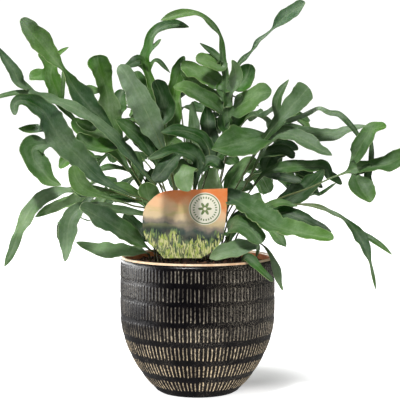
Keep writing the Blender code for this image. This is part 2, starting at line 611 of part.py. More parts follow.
def stroked_ring(height, relief=0.0, radius=None):
    """Three points for each stroke: its left foot, its crest and its right foot."""
    radius = radius or profile_radius(height)
    half = STROKE_WIDTH / 2 / POT_RADIUS
    points = []
    for index in range(STROKES):
        angle = 2 * math.pi * index / STROKES
        points.append(round_place(radius, angle - half, height))
        points.append(round_place(radius + relief, angle, height))
        points.append(round_place(radius, angle + half, height))
    return points


def bridge(faces, lower, upper, count):
    """Faces between two rings of the same count, facing away from the axis when upper lies above."""
    for index in range(count):
        after = (index + 1) % count
        faces.append((lower + index, lower + after, upper + after))
        faces.append((lower + index, upper + after, upper + index))


def pot():
    """Outer wall with bands of upright strokes, a chamfered rim, a bare inner wall and a flat foot."""
    rings = [stroked_ring(0), stroked_ring(4)]
    for low, high in BANDS:
        rings.append(stroked_ring(low, STROKE_RELIEF))
        rings.append(stroked_ring(high, STROKE_RELIEF))
        rings.append(stroked_ring(high + BAND_GAP))
    rings[-1] = stroked_ring(POT_HEIGHT - RIM_CHAMFER)
    rings.append(stroked_ring(POT_HEIGHT, radius=POT_RADIUS - RIM_CHAMFER))
    points = [point for each in rings for point in each]
    count = len(rings[0])
    faces = []
    for level in range(len(rings) - 1):
        bridge(faces, level * count, (level + 1) * count, count)

    # The inside has one point for each stroke, which the rim joins to the stroke's three
    rim = (len(rings) - 1) * count
    first = len(points)
    points += ring(POT_RADIUS - WALL, POT_HEIGHT)
    inner_heights = (110, 72, 50, 31, 13, FLOOR_THICKNESS)
    for height in inner_heights:
        points += ring(profile_radius(height) - WALL, height)
    for index in range(STROKES):
        inner = first + index
        next_inner = first + (index + 1) % STROKES
        left, crest, right = (rim + 3 * index + step for step in range(3))
        next_left = rim + (3 * index + 3) % count
        faces += [(left, crest, inner), (crest, right, inner)]
        faces += [(right, next_left, inner), (next_left, next_inner, inner)]
    for level in range(len(inner_heights)):
        bridge(faces, first + level * STROKES, first + (level + 1) * STROKES, STROKES)
    faces.append(tuple(range(len(points) - STROKES, len(points))))
    faces.append(tuple(reversed(range(count))))
    return points, faces


def soil_body():
    """Soil that fills the pot to a low mound, clear of the wall by the fit gap."""
    heights = (FLOOR_THICKNESS + FIT_GAP, 13, 31, 50, 72, 110, SOIL_EDGE)
    points = []
    for height in heights:
        points += ring(profile_radius(height) - WALL - 2 * FIT_GAP, height)
    for radius in (52, 28):
        points += ring(radius, soil_height(radius, 0))
    faces = [tuple(reversed(range(STROKES)))]
    for level in range(len(heights) + 1):
        bridge(faces, level * STROKES, (level + 1) * STROKES, STROKES)
    faces.append(tuple(range(len(points) - STROKES, len(points))))
    return points, faces


def prism(outline, low, high):
    """An upright prism on an outline that runs anticlockwise from above."""
    count = len(outline)
    points = [(x, y, low) for x, y in outline] + [(x, y, high) for x, y in outline]
    faces = [tuple(reversed(range(count))), tuple(range(count, 2 * count))]
    for index in range(count):
        after = (index + 1) % count
        faces.append((index, after, count + after, count + index))
    return points, faces


def tag_solid():
    """The card, upright across the pot, with its spike let into its lower edge."""
    outline = [seen(across, up, TAG_BACK) for across, up in TAG_OUTLINE]
    foot = soil_height(0, TAG_BACK) - SPIKE_DEPTH
    right, left = (seen(across, TAG_OUTLINE[-1][1], TAG_BACK) for across in SPIKE_SIDES)
    spike = [right, Vector((right.x, TAG_BACK, foot + SPIKE_POINT)),
             Vector(((right.x + left.x) / 2, TAG_BACK, foot)),
             Vector((left.x, TAG_BACK, foot + SPIKE_POINT)), left]
    outline = [*outline[:-1], *spike, outline[-1]]
    step = Vector((0, TAG_THICK / 2, 0))
    front = [tuple(point - step) for point in outline]
    back = [tuple(point + step) for point in outline]
    count = len(outline)
    faces = [tuple(reversed(range(count))), tuple(range(count, 2 * count))]
    for index in range(count):
        after = (index + 1) % count
        faces.append((index, after, count + after, count + index))
    return front + back, faces, [point.x for point in spike]


def cut_holes(soil, spots, slot):
    """Plain holes in the soil for the stalks, and a slot for the tag's spike."""
    points = []
    faces = []
    shapes = []
    for x, y in spots:
        outline = []
        for corner in range(HOLE_SIDES):
            angle = 2 * math.pi * corner / HOLE_SIDES
            outline.append((x + HOLE_RADIUS * math.cos(angle), y + HOLE_RADIUS * math.sin(angle)))
        shapes.append(prism(outline, soil_height(x, y) - ROOT_DEPTH - 0.5, POT_HEIGHT + 10))
    half = TAG_THICK / 2 + FIT_GAP
    left, right = min(slot) - FIT_GAP, max(slot) + FIT_GAP
    outline = ((left, TAG_BACK - half), (right, TAG_BACK - half), (right, TAG_BACK + half), (left, TAG_BACK + half))
    shapes.append(prism(outline, soil_height(0, TAG_BACK) - SPIKE_DEPTH - 0.5, POT_HEIGHT + 10))
    for shape_points, shape_faces in shapes:
        first = len(points)
        points += shape_points
        faces += [tuple(first + corner for corner in face) for face in shape_faces]
    cutter = add_object("hole_cutter", points, faces, soil.data.materials[0])
    cutter.hide_render = True
    cutter.display_type = "WIRE"
    cut = soil.modifiers.new("stalk_holes", "BOOLEAN")
    cut.object = cutter
    cut.operation = "DIFFERENCE"
    cut.solver = "EXACT"


def main():
    for old in list(bpy.data.objects):
        bpy.data.objects.remove(old, do_unlink=True)

    glaze = material("black_glaze", (0.03, 0.026, 0.022), 0.35)
    earth = material("potting_soil", (0.035, 0.022, 0.014), 0.95)
    card = material("printed_card", (0.62, 0.5, 0.3), 0.45)
    leaf = material("frond_green", (0.11, 0.21, 0.1), 0.5)

    pot_shape = pot()
    tag_points, tag_faces, slot = tag_solid()
    soil_shape = soil_body()
    add_object("pot", *pot_shape, glaze, STROKE_EDGE)
    soil = add_object("soil", *soil_shape, earth)
    add_object("plant_tag", tag_points, tag_faces, card)

    obstacles = [BVHTree.FromPolygons(*shape) for shape in (pot_shape, (tag_points, tag_faces))]
    fronds = laid_fronds(obstacles)
    for number, (name, (points, faces), _) in enumerate(fronds):
        add_object(f"frond_{number + 1:02d}_{name}", points, faces, leaf)
    cut_holes(soil, [spot for *_, spot in fronds], slot)


main()
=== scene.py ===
# %% [markdown]
# # Potted blue star fern
#
# The part is a glazed pot with soil, a plant tag and 46 fronds. Its plain solids come from the frame. This
# script puts a finer piece in the place of each solid, gives each its finish, and sets up a camera and
# studio light. It is a lesson in cells: each step says what the real thing is, how it could be made and why
# one way was picked.
#
# Lengths are in millimetres, and are turned into metres with MM where Blender takes them. Materials work in
# metres, except for the veins of a blade, whose place is stored in millimetres.

# %% Load the frame
import math
import random

import bmesh
import bpy
import numpy as np
from mathutils import Matrix, Vector, noise
from mathutils.kdtree import KDTree


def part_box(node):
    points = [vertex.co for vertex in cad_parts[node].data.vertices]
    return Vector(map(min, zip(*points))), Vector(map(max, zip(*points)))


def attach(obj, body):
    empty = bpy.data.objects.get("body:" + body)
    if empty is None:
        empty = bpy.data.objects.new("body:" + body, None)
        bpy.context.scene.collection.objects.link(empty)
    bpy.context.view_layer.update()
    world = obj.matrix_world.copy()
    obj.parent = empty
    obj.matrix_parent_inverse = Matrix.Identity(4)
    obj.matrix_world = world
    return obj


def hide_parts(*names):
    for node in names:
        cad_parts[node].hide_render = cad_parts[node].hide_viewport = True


MM = 0.001

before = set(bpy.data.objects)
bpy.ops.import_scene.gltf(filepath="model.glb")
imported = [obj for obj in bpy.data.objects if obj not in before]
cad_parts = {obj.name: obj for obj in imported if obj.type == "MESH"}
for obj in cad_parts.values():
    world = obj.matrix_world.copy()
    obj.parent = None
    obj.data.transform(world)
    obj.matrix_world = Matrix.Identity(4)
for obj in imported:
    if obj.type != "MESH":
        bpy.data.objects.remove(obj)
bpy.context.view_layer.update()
pot_low, pot_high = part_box("pot")
POT_RADIUS = (pot_high.x - pot_low.x) / 2 / MM
POT_HEIGHT = pot_high.z / MM
print("nodes in the frame:", len(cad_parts))
print(f"pot in the frame: radius {POT_RADIUS:.1f} mm, height {POT_HEIGHT:.1f} mm")

# %% [markdown]
# ## Camera
#
# The photograph was taken from straight in front, with the lens a little above the top of the pot: its rim
# shows as a slim oval. The same oval in the frame gives the height of the eye for a distance of 1.3 m. The
# lens is then the one that puts a millimetre at the pot's axis on one pixel of the 400 pixel frame.

# %% Camera
EYE_DISTANCE = 1300.0
EYE_HEIGHT = 280.0
AIM_HEIGHT = 192.3
AIM_ACROSS = 2.5
FRAME_WIDTH = 400.0
SENSOR = 36.0


def put_and_aim(made, place, target):
    """Puts a camera or a lamp at a place and turns it to a target, both in millimetres."""
    bpy.context.scene.collection.objects.link(made)
    made.location = Vector(place) * MM
    made.rotation_euler = (Vector(target) * MM - made.location).to_track_quat("-Z", "Y").to_euler()


camera = bpy.data.objects.new("camera", bpy.data.cameras.new("camera"))
camera.data.sensor_width = SENSOR
camera.data.lens = SENSOR * EYE_DISTANCE / FRAME_WIDTH
put_and_aim(camera, (AIM_ACROSS, -EYE_DISTANCE, EYE_HEIGHT), (AIM_ACROSS, 0, AIM_HEIGHT))
bpy.context.scene.camera = camera
bpy.context.scene.view_settings.view_transform = "Standard"
print(f"lens {camera.data.lens:.0f} mm")

# %% [markdown]
# ## Nodes by name
#
# A material is a small program drawn as boxes and wires. It could be wired line by line, but the lines
# would hide what it does. These helpers keep it short in text: each adds one box with its settings. A wire
# is made wherever a value is itself a socket.

# %% Helpers for values and colours
def screen(red, green, blue):
    """A screen colour, 0 to 255, as the linear values that shaders use."""
    values = [value / 255 for value in (red, green, blue)]
    return tuple(v / 12.92 if v <= 0.04045 else ((v + 0.055) / 1.055) ** 2.4 for v in values) + (1.0,)


def feed(tree, node, values):
    """Sets inputs of a node to numbers or colours, and wires those whose value is a socket."""
    for name, value in values.items():
        if isinstance(value, bpy.types.NodeSocket):
            tree.links.new(value, node.inputs[name])
        else:
            node.inputs[name].default_value = value


def add_node(tree, kind, values=None, **settings):
    """A node with its settings and the values of its inputs."""
    made = tree.nodes.new(kind)
    for name, value in settings.items():
        setattr(made, name, value)
    feed(tree, made, values or {})
    return made


def calculate(tree, operation, first, second=None, third=None, clamp=False):
    """The result of a Math node."""
    values = {index: value for index, value in enumerate((first, second, third)) if value is not None}
    return add_node(tree, "ShaderNodeMath", values, operation=operation, use_clamp=clamp).outputs[0]


def plus(tree, first, second, clamp=False):
    """The sum of two values."""
    return calculate(tree, "ADD", first, second, clamp=clamp)


def minus(tree, first, second):
    """One value less another."""
    return calculate(tree, "SUBTRACT", first, second)


def times(tree, first, second, clamp=False):
    """The product of two values."""
    return calculate(tree, "MULTIPLY", first, second, clamp=clamp)


def mix_value(tree, factor, one, other):
    """Two values mixed. The Mix node holds its value sockets at places 2 and 3."""
    return add_node(tree, "ShaderNodeMix", {0: factor, 2: one, 3: other}).outputs[0]


def mix_colour(tree, factor, one, other, blend="MIX"):
    """Two colours mixed. The Mix node holds its colour sockets at places 6 and 7."""
    values = {0: factor, 6: one, 7: other}
    return add_node(tree, "ShaderNodeMix", values, data_type="RGBA", blend_type=blend).outputs[2]


def ease(tree, value, low, high, start=0.0, end=1.0):
    """A value eased from start to end while it runs from low to high."""
    values = {"Value": value, "From Min": low, "From Max": high, "To Min": start, "To Max": end}
    return add_node(tree, "ShaderNodeMapRange", values, interpolation_type="SMOOTHSTEP").outputs[0]


def belt(tree, value, rise, fall):
    """A mask that eases in while a value runs through the first span, and out in the second."""
    return times(tree, ease(tree, value, *rise), ease(tree, value, *fall, 1.0, 0.0))


print("red 200 on a screen is", round(screen(200, 0, 0)[0], 3), "in a shader")

# %% Helpers for places and noise
def object_place(tree):
    """The place on the object, in metres."""
    return add_node(tree, "ShaderNodeTexCoord").outputs["Object"]


def split(tree, place):
    """The three parts of a place."""
    return add_node(tree, "ShaderNodeSeparateXYZ", {"Vector": place}).outputs


def stored(tree, name, output="Fac"):
    """A value that is stored on the points of the mesh."""
    return add_node(tree, "ShaderNodeAttribute", attribute_name=name).outputs[output]


def drawn_out(tree, place, scale, lean=0.0):
    """A place leant to one side and scaled, so that noise read there is drawn out."""
    values = {"Vector": place, "Rotation": (0.0, lean, 0.0), "Scale": scale}
    return add_node(tree, "ShaderNodeMapping", values).outputs[0]


def noise_at(tree, place, scale, detail, roughness=0.5):
    """Noise at a place."""
    values = {"Vector": place, "Scale": scale, "Detail": detail, "Roughness": roughness}
    return add_node(tree, "ShaderNodeTexNoise", values).outputs[0]


print("places are read in metres: 1 mm is", MM)

# %% Helpers for materials and node groups
def new_material(name):
    """A material with its node tree and its Principled shader."""
    made = bpy.data.materials.new(name)
    made.use_nodes = True
    return made, made.node_tree, made.node_tree.nodes["Principled BSDF"]


def new_group(name, inputs, outputs):
    """An empty shader node group, what it is given and its result. An input is (kind, value)."""
    tree = bpy.data.node_groups.new(name, "ShaderNodeTree")
    for label, (kind, value) in inputs.items():
        socket = tree.interface.new_socket(label, in_out="INPUT", socket_type="NodeSocket" + kind)
        if value is not None:
            socket.default_value = value
    for label, kind in outputs.items():
        tree.interface.new_socket(label, in_out="OUTPUT", socket_type="NodeSocket" + kind)
    return tree, tree.nodes.new("NodeGroupInput").outputs, tree.nodes.new("NodeGroupOutput")


def use(tree, group, **values):
    """The outputs of a shader node group, placed in a material with its own values."""
    values = {name.replace("_", " "): value for name, value in values.items()}
    return add_node(tree, "ShaderNodeGroup", values, node_tree=group).outputs


print("materials before the first finish:", len(bpy.data.materials))

# %% [markdown]
# ## Studio
#
# Product photographs like this one are lit by large white surfaces: a white room behind and above, a
# softer front, and one big lamp box at the upper left. The room could be built from real panels. A world
# whose brightness changes with direction does the same with no geometry. The camera itself always sees
# plain white. Glossy things mirror a dark room with one bright panel on the left. So the middle of the
# pot stays black, with a pale sheen down its left side.

# %% World light
ROOM_WHITE = 1.0
ROOM_FRONT = 0.58
ROOM_STRENGTH = 0.55
ROOM_SEEN = 2.0
# Directions from -1 in front to 1 behind: the room turns white between these
FRONT_TO_BACK = (-0.9, 0.35)
# What glossy things mirror: a share of the room, and the panel with its turn to the back and its soft edge
MIRRORED_SHARE = 0.14
LEFT_PANEL = 11.0
PANEL_TURN = 0.6
PANEL_EDGE = (0.62, 1.1)
WHITE = (1, 1, 1, 1)

world = bpy.data.worlds.new("white_room")
bpy.context.scene.world = world
world.use_nodes = True
tree = world.node_tree
side, depth, _ = split(tree, add_node(tree, "ShaderNodeTexCoord").outputs["Generated"])
room = ease(tree, depth, *FRONT_TO_BACK, ROOM_FRONT, ROOM_WHITE)
panel = ease(tree, minus(tree, times(tree, depth, PANEL_TURN), side), *PANEL_EDGE, 0.0, LEFT_PANEL)
mirrored = plus(tree, times(tree, room, MIRRORED_SHARE), panel)
rays = add_node(tree, "ShaderNodeLightPath").outputs
strength = mix_value(tree, rays["Is Glossy Ray"], room, mirrored)
strength = mix_value(tree, rays["Is Camera Ray"], strength, ROOM_SEEN)
feed(tree, tree.nodes["Background"], {"Color": WHITE, "Strength": times(tree, strength, ROOM_STRENGTH)})

print("world:", world.name, "with", len(tree.nodes), "nodes")

# %% Lamp boxes
# Each lamp box: name, place, size and power in watts
LAMP_BOXES = (("key_box", (-330, -820, 1400), 200, 25), ("left_box", (-1250, 120, 300), 900, 13))
LAMP_TARGET = (0, 0, 120)

for name, place, size, power in LAMP_BOXES:
    lamp = bpy.data.lights.new(name, "AREA")
    lamp.size = size * MM
    lamp.energy = power
    put_and_aim(bpy.data.objects.new(name, lamp), place, LAMP_TARGET)
print("lamp boxes:", [name for name, *_ in LAMP_BOXES])

# %% [markdown]
# The floor is the same white as the room, so that only the pot's soft shadow shows on it. Part of its
# brightness comes from emission, which keeps the shadow pale, as on a lit glass table. The glow is weaker
# in one patch to the right of the foot and behind it, where the photograph has its only shadow: a painted
# shadow that deepens the lamp's own shadow there. A plain shadow catcher would show a wide grey ring
# instead. In the photograph the glaze hardly mirrors the floor, so a glossy ray sees a dark one.

# %% Floor finish
FLOOR_COLOUR = (0.94, 0.94, 0.94, 1)
FLOOR_IN_GLAZE = (0.1, 0.1, 0.1, 1)
FLOOR_GLOW = 0.9
# The painted shadow, a patch with a weaker glow: its glow, its middle and the distances between which the
# glow comes back
PAINTED_SHADOW_GLOW = (0.16, 0.16, 0.16, 1)
PAINTED_SHADOW_PLACE = (0.05, 0.065, 0.0)
PAINTED_SHADOW_FADES = (0.02, 0.105)

floor_material, tree, shader = new_material("pale_floor")
mirrored = add_node(tree, "ShaderNodeLightPath").outputs["Is Glossy Ray"]
# Painted shadow: the floor glows less near this place, right of the pot's foot and behind it
from_painted_shadow = add_node(tree, "ShaderNodeVectorMath", {0: object_place(tree), 1: PAINTED_SHADOW_PLACE},
                      operation="DISTANCE").outputs["Value"]
glow = mix_colour(tree, ease(tree, from_painted_shadow, *PAINTED_SHADOW_FADES), PAINTED_SHADOW_GLOW, WHITE)
feed(tree, shader, {"Base Color": mix_colour(tree, mirrored, FLOOR_COLOUR, FLOOR_IN_GLAZE),
                    "Emission Color": mix_colour(tree, mirrored, glow, FLOOR_IN_GLAZE),
                    "Emission Strength": FLOOR_GLOW, "Roughness": 0.8, "Specular IOR Level": 0.1})
print("floor finish:", floor_material.name)

# %% Floor piece
FLOOR_REACH = 6000.0
FLOOR_FRONT = -300.0


def add_object(name, points, faces, materials):
    """A smooth mesh object from points in millimetres, with its materials."""
    mesh = bpy.data.meshes.new(name)
    mesh.from_pydata((np.array(points, float).reshape(-1, 3) * MM).tolist(), [], faces)
    mesh.shade_smooth()
    for finish in materials:
        mesh.materials.append(finish)
    made = bpy.data.objects.new(name, mesh)
    bpy.context.scene.collection.objects.link(made)
    return made


corners = [(-FLOOR_REACH, FLOOR_FRONT, 0), (FLOOR_REACH, FLOOR_FRONT, 0), (FLOOR_REACH, FLOOR_REACH, 0),
           (-FLOOR_REACH, FLOOR_REACH, 0)]
floor = add_object("floor", corners, [(0, 1, 2, 3)], [floor_material])
print("floor laid at height 0")

# %% [markdown]
# ## Effects that several finishes share
#
# Nothing that grew or was fired has one flat colour. Two effects come back in most of the finishes here: a
# soft drift of the colour from place to place, and a fine grain that catches the light. Each could be wired
# anew in every material. As a node group with named inputs it is built once, and each material places it
# with its own values.

# %% Mottle and grain
mottle, given, result = new_group(
    "mottle",
    {"Colour": ("Color", (0.5, 0.5, 0.5, 1)), "Other Colour": ("Color", (0.4, 0.4, 0.4, 1)),
     "Scale": ("Float", 60.0), "Amount": ("Float", 0.5), "Detail": ("Float", 3.0)},
    {"Colour": "Color", "Mask": "Float"})
mask = ease(mottle, noise_at(mottle, object_place(mottle), given["Scale"], given["Detail"], 0.6), 0.36, 0.66)
share = times(mottle, mask, given["Amount"])
feed(mottle, result, {"Colour": mix_colour(mottle, share, given["Colour"], given["Other Colour"]),
                      "Mask": mask})

grain, given, result = new_group(
    "grain",
    {"Coarse Scale": ("Float", 200.0), "Fine Scale": ("Float", 1400.0), "Fine Share": ("Float", 0.4)},
    {"Height": "Float"})
place = object_place(grain)
coarse = noise_at(grain, place, given["Coarse Scale"], detail=4.0)
fine = noise_at(grain, place, given["Fine Scale"], detail=2.0)
feed(grain, result, {"Height": plus(grain, coarse, times(grain, fine, given["Fine Share"]))})

print("node groups:", mottle.name, "and", grain.name)

# %% Relief from a group
def bumped(tree, height, strength, distance, normal=None):
    """The normal of a surface with a relief. The distance is the relief's full height in metres."""
    values = {"Height": height, "Strength": strength, "Distance": distance}
    if normal is not None:
        values["Normal"] = normal
    return add_node(tree, "ShaderNodeBump", values).outputs[0]


def grained(tree, strength, distance, **values):
    """The normal of a surface with the shared grain as its relief."""
    return bumped(tree, use(tree, grain, **values)["Height"], strength, distance)


print("relief is given in metres: a grain of 0.4 mm is", 0.4 * MM)

# %% [markdown]
# ## Veins of a blade
#
# A blade has a midrib, side veins that run forward from it, and a pale thin margin. The wax bloom lies in
# patches and thins out towards the margin. A net drawn as an image would blur close up. Here each is a
# formula of the place on the blade: how far along it, how far from the midrib, and how near to the margin.
# The top and the under side show the same veins in different strength, so this is a node group too.

# %% Veins
# Share of the way from one side vein to the next over which a vein fades
VEIN_FADE = 0.16
# How noise is drawn out along a blade, for its fine streaks and for its patches of bloom
STREAK_SHAPE = (0.05, 0.7, 0.0)
PATCH_SHAPE = (0.045, 0.12, 0.0)
STREAK_RELIEF = 0.4
VEIN_RELIEF = 0.2

veins, given, result = new_group(
    "blade_veins",
    {"Place": ("Vector", None), "Pitch": ("Float", 3.4), "Slant": ("Float", 1.3),
     "Rib Width": ("Float", 0.55)},
    {"Side Veins": "Float", "Midrib": "Float", "Margin": "Float", "Bloom": "Float", "Streaks": "Float",
     "Height": "Float"})
along, across, to_margin = split(veins, given["Place"])
off_rib = calculate(veins, "ABSOLUTE", across)
slanted = minus(veins, along, times(veins, off_rib, given["Slant"]))
turn = calculate(veins, "FRACT", calculate(veins, "DIVIDE", slanted, given["Pitch"]))
from_vein = calculate(veins, "ABSOLUTE", minus(veins, turn, 0.5))
side_vein = ease(veins, from_vein, 0.0, VEIN_FADE, 1.0, 0.0)
away = calculate(veins, "DIVIDE", off_rib, given["Rib Width"])
streaks = noise_at(veins, drawn_out(veins, given["Place"], STREAK_SHAPE), scale=1.0, detail=4.0)
patches = noise_at(veins, drawn_out(veins, given["Place"], PATCH_SHAPE), scale=1.0, detail=3.0)
inner = ease(veins, to_margin, 0.35, 1.0, 1.0, 0.0)
relief = calculate(veins, "MULTIPLY_ADD", streaks, STREAK_RELIEF, times(veins, side_vein, VEIN_RELIEF))
feed(veins, result, {"Side Veins": side_vein,
                     "Midrib": ease(veins, away, 0.5, 1.6, 1.0, 0.0),
                     "Margin": ease(veins, to_margin, 0.86, 1.0),
                     "Bloom": times(veins, inner, ease(veins, patches, 0.34, 0.64)),
                     "Streaks": ease(veins, streaks, 0.34, 0.66),
                     "Height": relief})
print("node groups:", [group.name for group in bpy.data.node_groups])

# %% [markdown]
# ## Pot: its form
#
# The pot was turned on a wheel: a straight upper wall over a bowl. Seven bands of short upright strokes
# stand out from it, 3.9 mm apart, so about 124 round the wall and 85 near the foot. They could be a bump in
# the material, but then close views would look flat. Here they are real relief: the wall is a net of
# columns and rows, six columns for a stroke, and a formula pushes the net outwards. Its value is stored on
# the points for the glaze.

# %% Pot outline and bands
# Radius of the outside at each height, foot to rim
POT_PROFILE = ((0, 38), (2, 41.5), (6, 45), (13, 51.5), (22, 58), (31, 63.5), (40, 68), (50, 72), (60, 75),
               (72, 77), (90, 77.4), (112, 77.2), (130, 77), (136.4, 76.6))
# Lower and upper edge of each band of strokes
BANDS = ((8, 18.5), (24, 36.5), (42, 55.5), (61, 75), (80, 95.5), (99.5, 113), (117.5, 129.5))
# Heights of the net's rows: at the foot, from a band's lower edge, along it as shares, from its upper edge
FOOT_ROWS = (0, 0.8, 2, 4)
LOWER_ROWS = (-1.6, -0.6, 0.1, 0.8, 1.8)
MIDDLE_ROWS = (0.35, 0.65)
UPPER_ROWS = (-1.8, -0.8, -0.1, 0.6, 1.6)
GLAZE_TOP = 134.51


def profile_radius(height):
    """Radius of the pot's outside at a height."""
    heights, radii = zip(*POT_PROFILE)
    return float(np.interp(height, heights, radii))


def smooth(value):
    """Eases 0 to 1, and holds outside."""
    value = min(max(value, 0.0), 1.0)
    return value * value * (3 - 2 * value)


def band_rows():
    """Heights of the wall's rows: close together where a stroke ends."""
    rows = list(FOOT_ROWS)
    for low, high in BANDS:
        rows += [low + step for step in LOWER_ROWS]
        rows += [low + (high - low) * share for share in MIDDLE_ROWS]
        rows += [high + step for step in UPPER_ROWS]
    return rows + [GLAZE_TOP]


print("rows up the wall:", len(band_rows()))

# %% Pot strokes
# Strokes round the pot in each band: they stand about 3.9 mm apart
BAND_STROKES = (85, 102, 114, 124, 125, 124, 124)
# A stroke: how far it stands out, its half width and the width of its side as shares of the pitch
RELIEF = 0.32
STROKE_HALF = 0.25
STROKE_SIDE = 0.15
# How softly its ends rise, how far they wander, and how far it stands aside, as a share of the pitch
END_EASE = 0.9
JITTER = 0.5
LEAN = 0.08
# The bead near its lower end: its height over the end, its reach, and how much further it stands out
BEAD_RISE = 0.8
BEAD_REACH = 1.6
BEAD_SWELL = 0.25


def stroke_marks(draw):
    """For each band and stroke: how far its ends and its middle wander, and how bright it was wiped."""
    marks = []
    for strokes in BAND_STROKES:
        marks.append([(draw.uniform(-JITTER, JITTER), draw.uniform(-JITTER, JITTER),
                       draw.uniform(-LEAN, LEAN), draw.random()) for _ in range(strokes)])
    return marks


def stroke_at(marks, height, share):
    """At a height and a share of the way round: the radius, the stroke's relief, its tone and its bead."""
    band = min(range(len(BANDS)), key=lambda index: abs(sum(BANDS[index]) / 2 - height))
    low, high = BANDS[band]
    turn = share * BAND_STROKES[band]
    lower, upper, lean, tone = marks[band][int(turn)]
    crest = smooth((STROKE_HALF - abs(turn - int(turn) - 0.5 - lean)) / STROKE_SIDE)
    rise = smooth((height - low - lower + END_EASE) / (2 * END_EASE))
    fall = smooth((high + upper - height + END_EASE) / (2 * END_EASE))
    stroke = crest * rise * fall
    near_end = max(0.0, 1 - abs(height - low - lower - BEAD_RISE) / BEAD_REACH)
    radius = profile_radius(height) + RELIEF * stroke * (1 + BEAD_SWELL * near_end)
    return radius, stroke, tone, near_end * stroke


print("strokes on the pot:", sum(BAND_STROKES))

# %% Pot net
COLUMNS = 744
STROKE_SEED = 5
WALL = 4.0
FLOOR_THICKNESS = 6.0
LIP_TURNS = 7
# Heights of the rows down the inner wall
INSIDE_ROWS = (126, 110, 72, 50, 31, 13, FLOOR_THICKNESS)


def tube_faces(rows, count):
    """Faces between rings of points, row by row, then the cap at the top and the cap at the bottom."""
    faces = []
    for low in range(0, (rows - 1) * count, count):
        for column in range(count):
            after = (column + 1) % count
            faces.append((low + column, low + after, low + count + after, low + count + column))
    return [*faces, tuple(range((rows - 1) * count, rows * count)), tuple(reversed(range(count)))]


def pot_net():
    """Points and faces of the pot, the material of each face, and stroke, tone and bead for each point."""
    marks = stroke_marks(random.Random(STROKE_SEED))
    glazed = band_rows()
    rings = [(height, [stroke_at(marks, height, column / COLUMNS) for column in range(COLUMNS)])
             for height in glazed]
    lip = WALL / 2
    middle = profile_radius(POT_HEIGHT) - lip
    turns = [math.pi * turn / LIP_TURNS for turn in range(LIP_TURNS + 1)]
    plain = [(POT_HEIGHT - lip + lip * math.sin(turn), middle + lip * math.cos(turn)) for turn in turns]
    plain += [(height, profile_radius(height) - WALL) for height in INSIDE_ROWS]
    rings += [(height, [(radius, 0.0, 0.0, 0.0)] * COLUMNS) for height, radius in plain]
    points, values = [], {"stroke": [], "tone": [], "bead": []}
    for height, ring in rings:
        for column, (radius, *found) in enumerate(ring):
            angle = 2 * math.pi * column / COLUMNS
            points.append((radius * math.sin(angle), -radius * math.cos(angle), height))
            for name, value in zip(values, found):
                values[name].append(value)
    finish = [0] * COLUMNS * (len(glazed) - 1) + [1] * COLUMNS * len(turns)
    finish += [2] * (COLUMNS * len(INSIDE_ROWS) + 2)
    return points, tube_faces(len(rings), COLUMNS), finish, values


pot_points, pot_faces, pot_finish, pot_values = pot_net()
print("pot net:", len(pot_points), "points and", len(pot_faces), "faces")

# %% [markdown]
# ## Pot: its glaze
#
# A dark brown-black glaze covers the pot. It was wiped off the raised strokes before the firing, so the
# beige slip below shows there, brightest near the lower end of each stroke. On the upper left the strokes
# are weaker: partly where the hand hardly touched, and partly painted dimmer to stand in for the sheen on
# that side. Over the right half a dust of slip stayed between the strokes. The mask for all this is the
# relief itself plus noise, so that each stroke is broken in its own way. A painted image could do it too,
# but noise needs no file and stays sharp at any distance.

# %% Glaze
GLAZE_BLACK = screen(4, 3, 6)
GLAZE_BROWN = screen(14, 11, 13)
SLIP_TAN = screen(206, 184, 148)
SLIP_GREY = screen(182, 172, 154)
# Heights in metres over which the upper wall begins, the harder wiping ends, and tan turns to grey
UPPER_WALL = (0.05, 0.075)
LOWER_WALL = (0.05, 0.1)
TAN_TO_GREY = (0.03, 0.1)
# Places from left to right, in metres, over which the hand and the dust of slip set in on the upper wall.
# Left of the hand's places the strokes are partly painted dimmer, for the sheen on that side.
HAND_AND_SHEEN_STARTS = (-0.05, -0.01)
DUST_STARTS = (0.0, 0.045)
# Noise added to a stroke's relief, and the sum over which the slip begins to show
STREAK_WEIGHT = 2.4
WIPED_FROM = (1.6, 2.65)
# How hard a stroke was wiped: by its own tone, by patches, at its bead, low on the wall, and by a light hand.
# The light hand on the upper left is partly painted: dimmer strokes stand in for the sheen on that side.
TONE_WEIGHT = 0.3
PATCH_WEIGHTS = (0.1, 0.66)
BEAD_WEIGHT = 0.45
LOW_WEIGHT = 0.25
LIGHT_HAND_AND_SHEEN = 0.2
# Dust of slip between the strokes, on the right half and in patches
DUST_WEIGHT = 0.4
PATCH_DUST = 0.25

glaze, tree, shader = new_material("wiped_black_glaze")
place = object_place(tree)
from_left, _, height_above = split(tree, place)
stroke, tone, bead = (stored(tree, name) for name in ("stroke", "tone", "bead"))
streaks = noise_at(tree, drawn_out(tree, place, (1.0, 1.0, 0.5)), scale=800.0, detail=4.0)
patches = noise_at(tree, place, scale=24.0, detail=3.0)
wiped = ease(tree, plus(tree, stroke, times(tree, streaks, STREAK_WEIGHT)), *WIPED_FROM)
upper_wall = ease(tree, height_above, *UPPER_WALL)
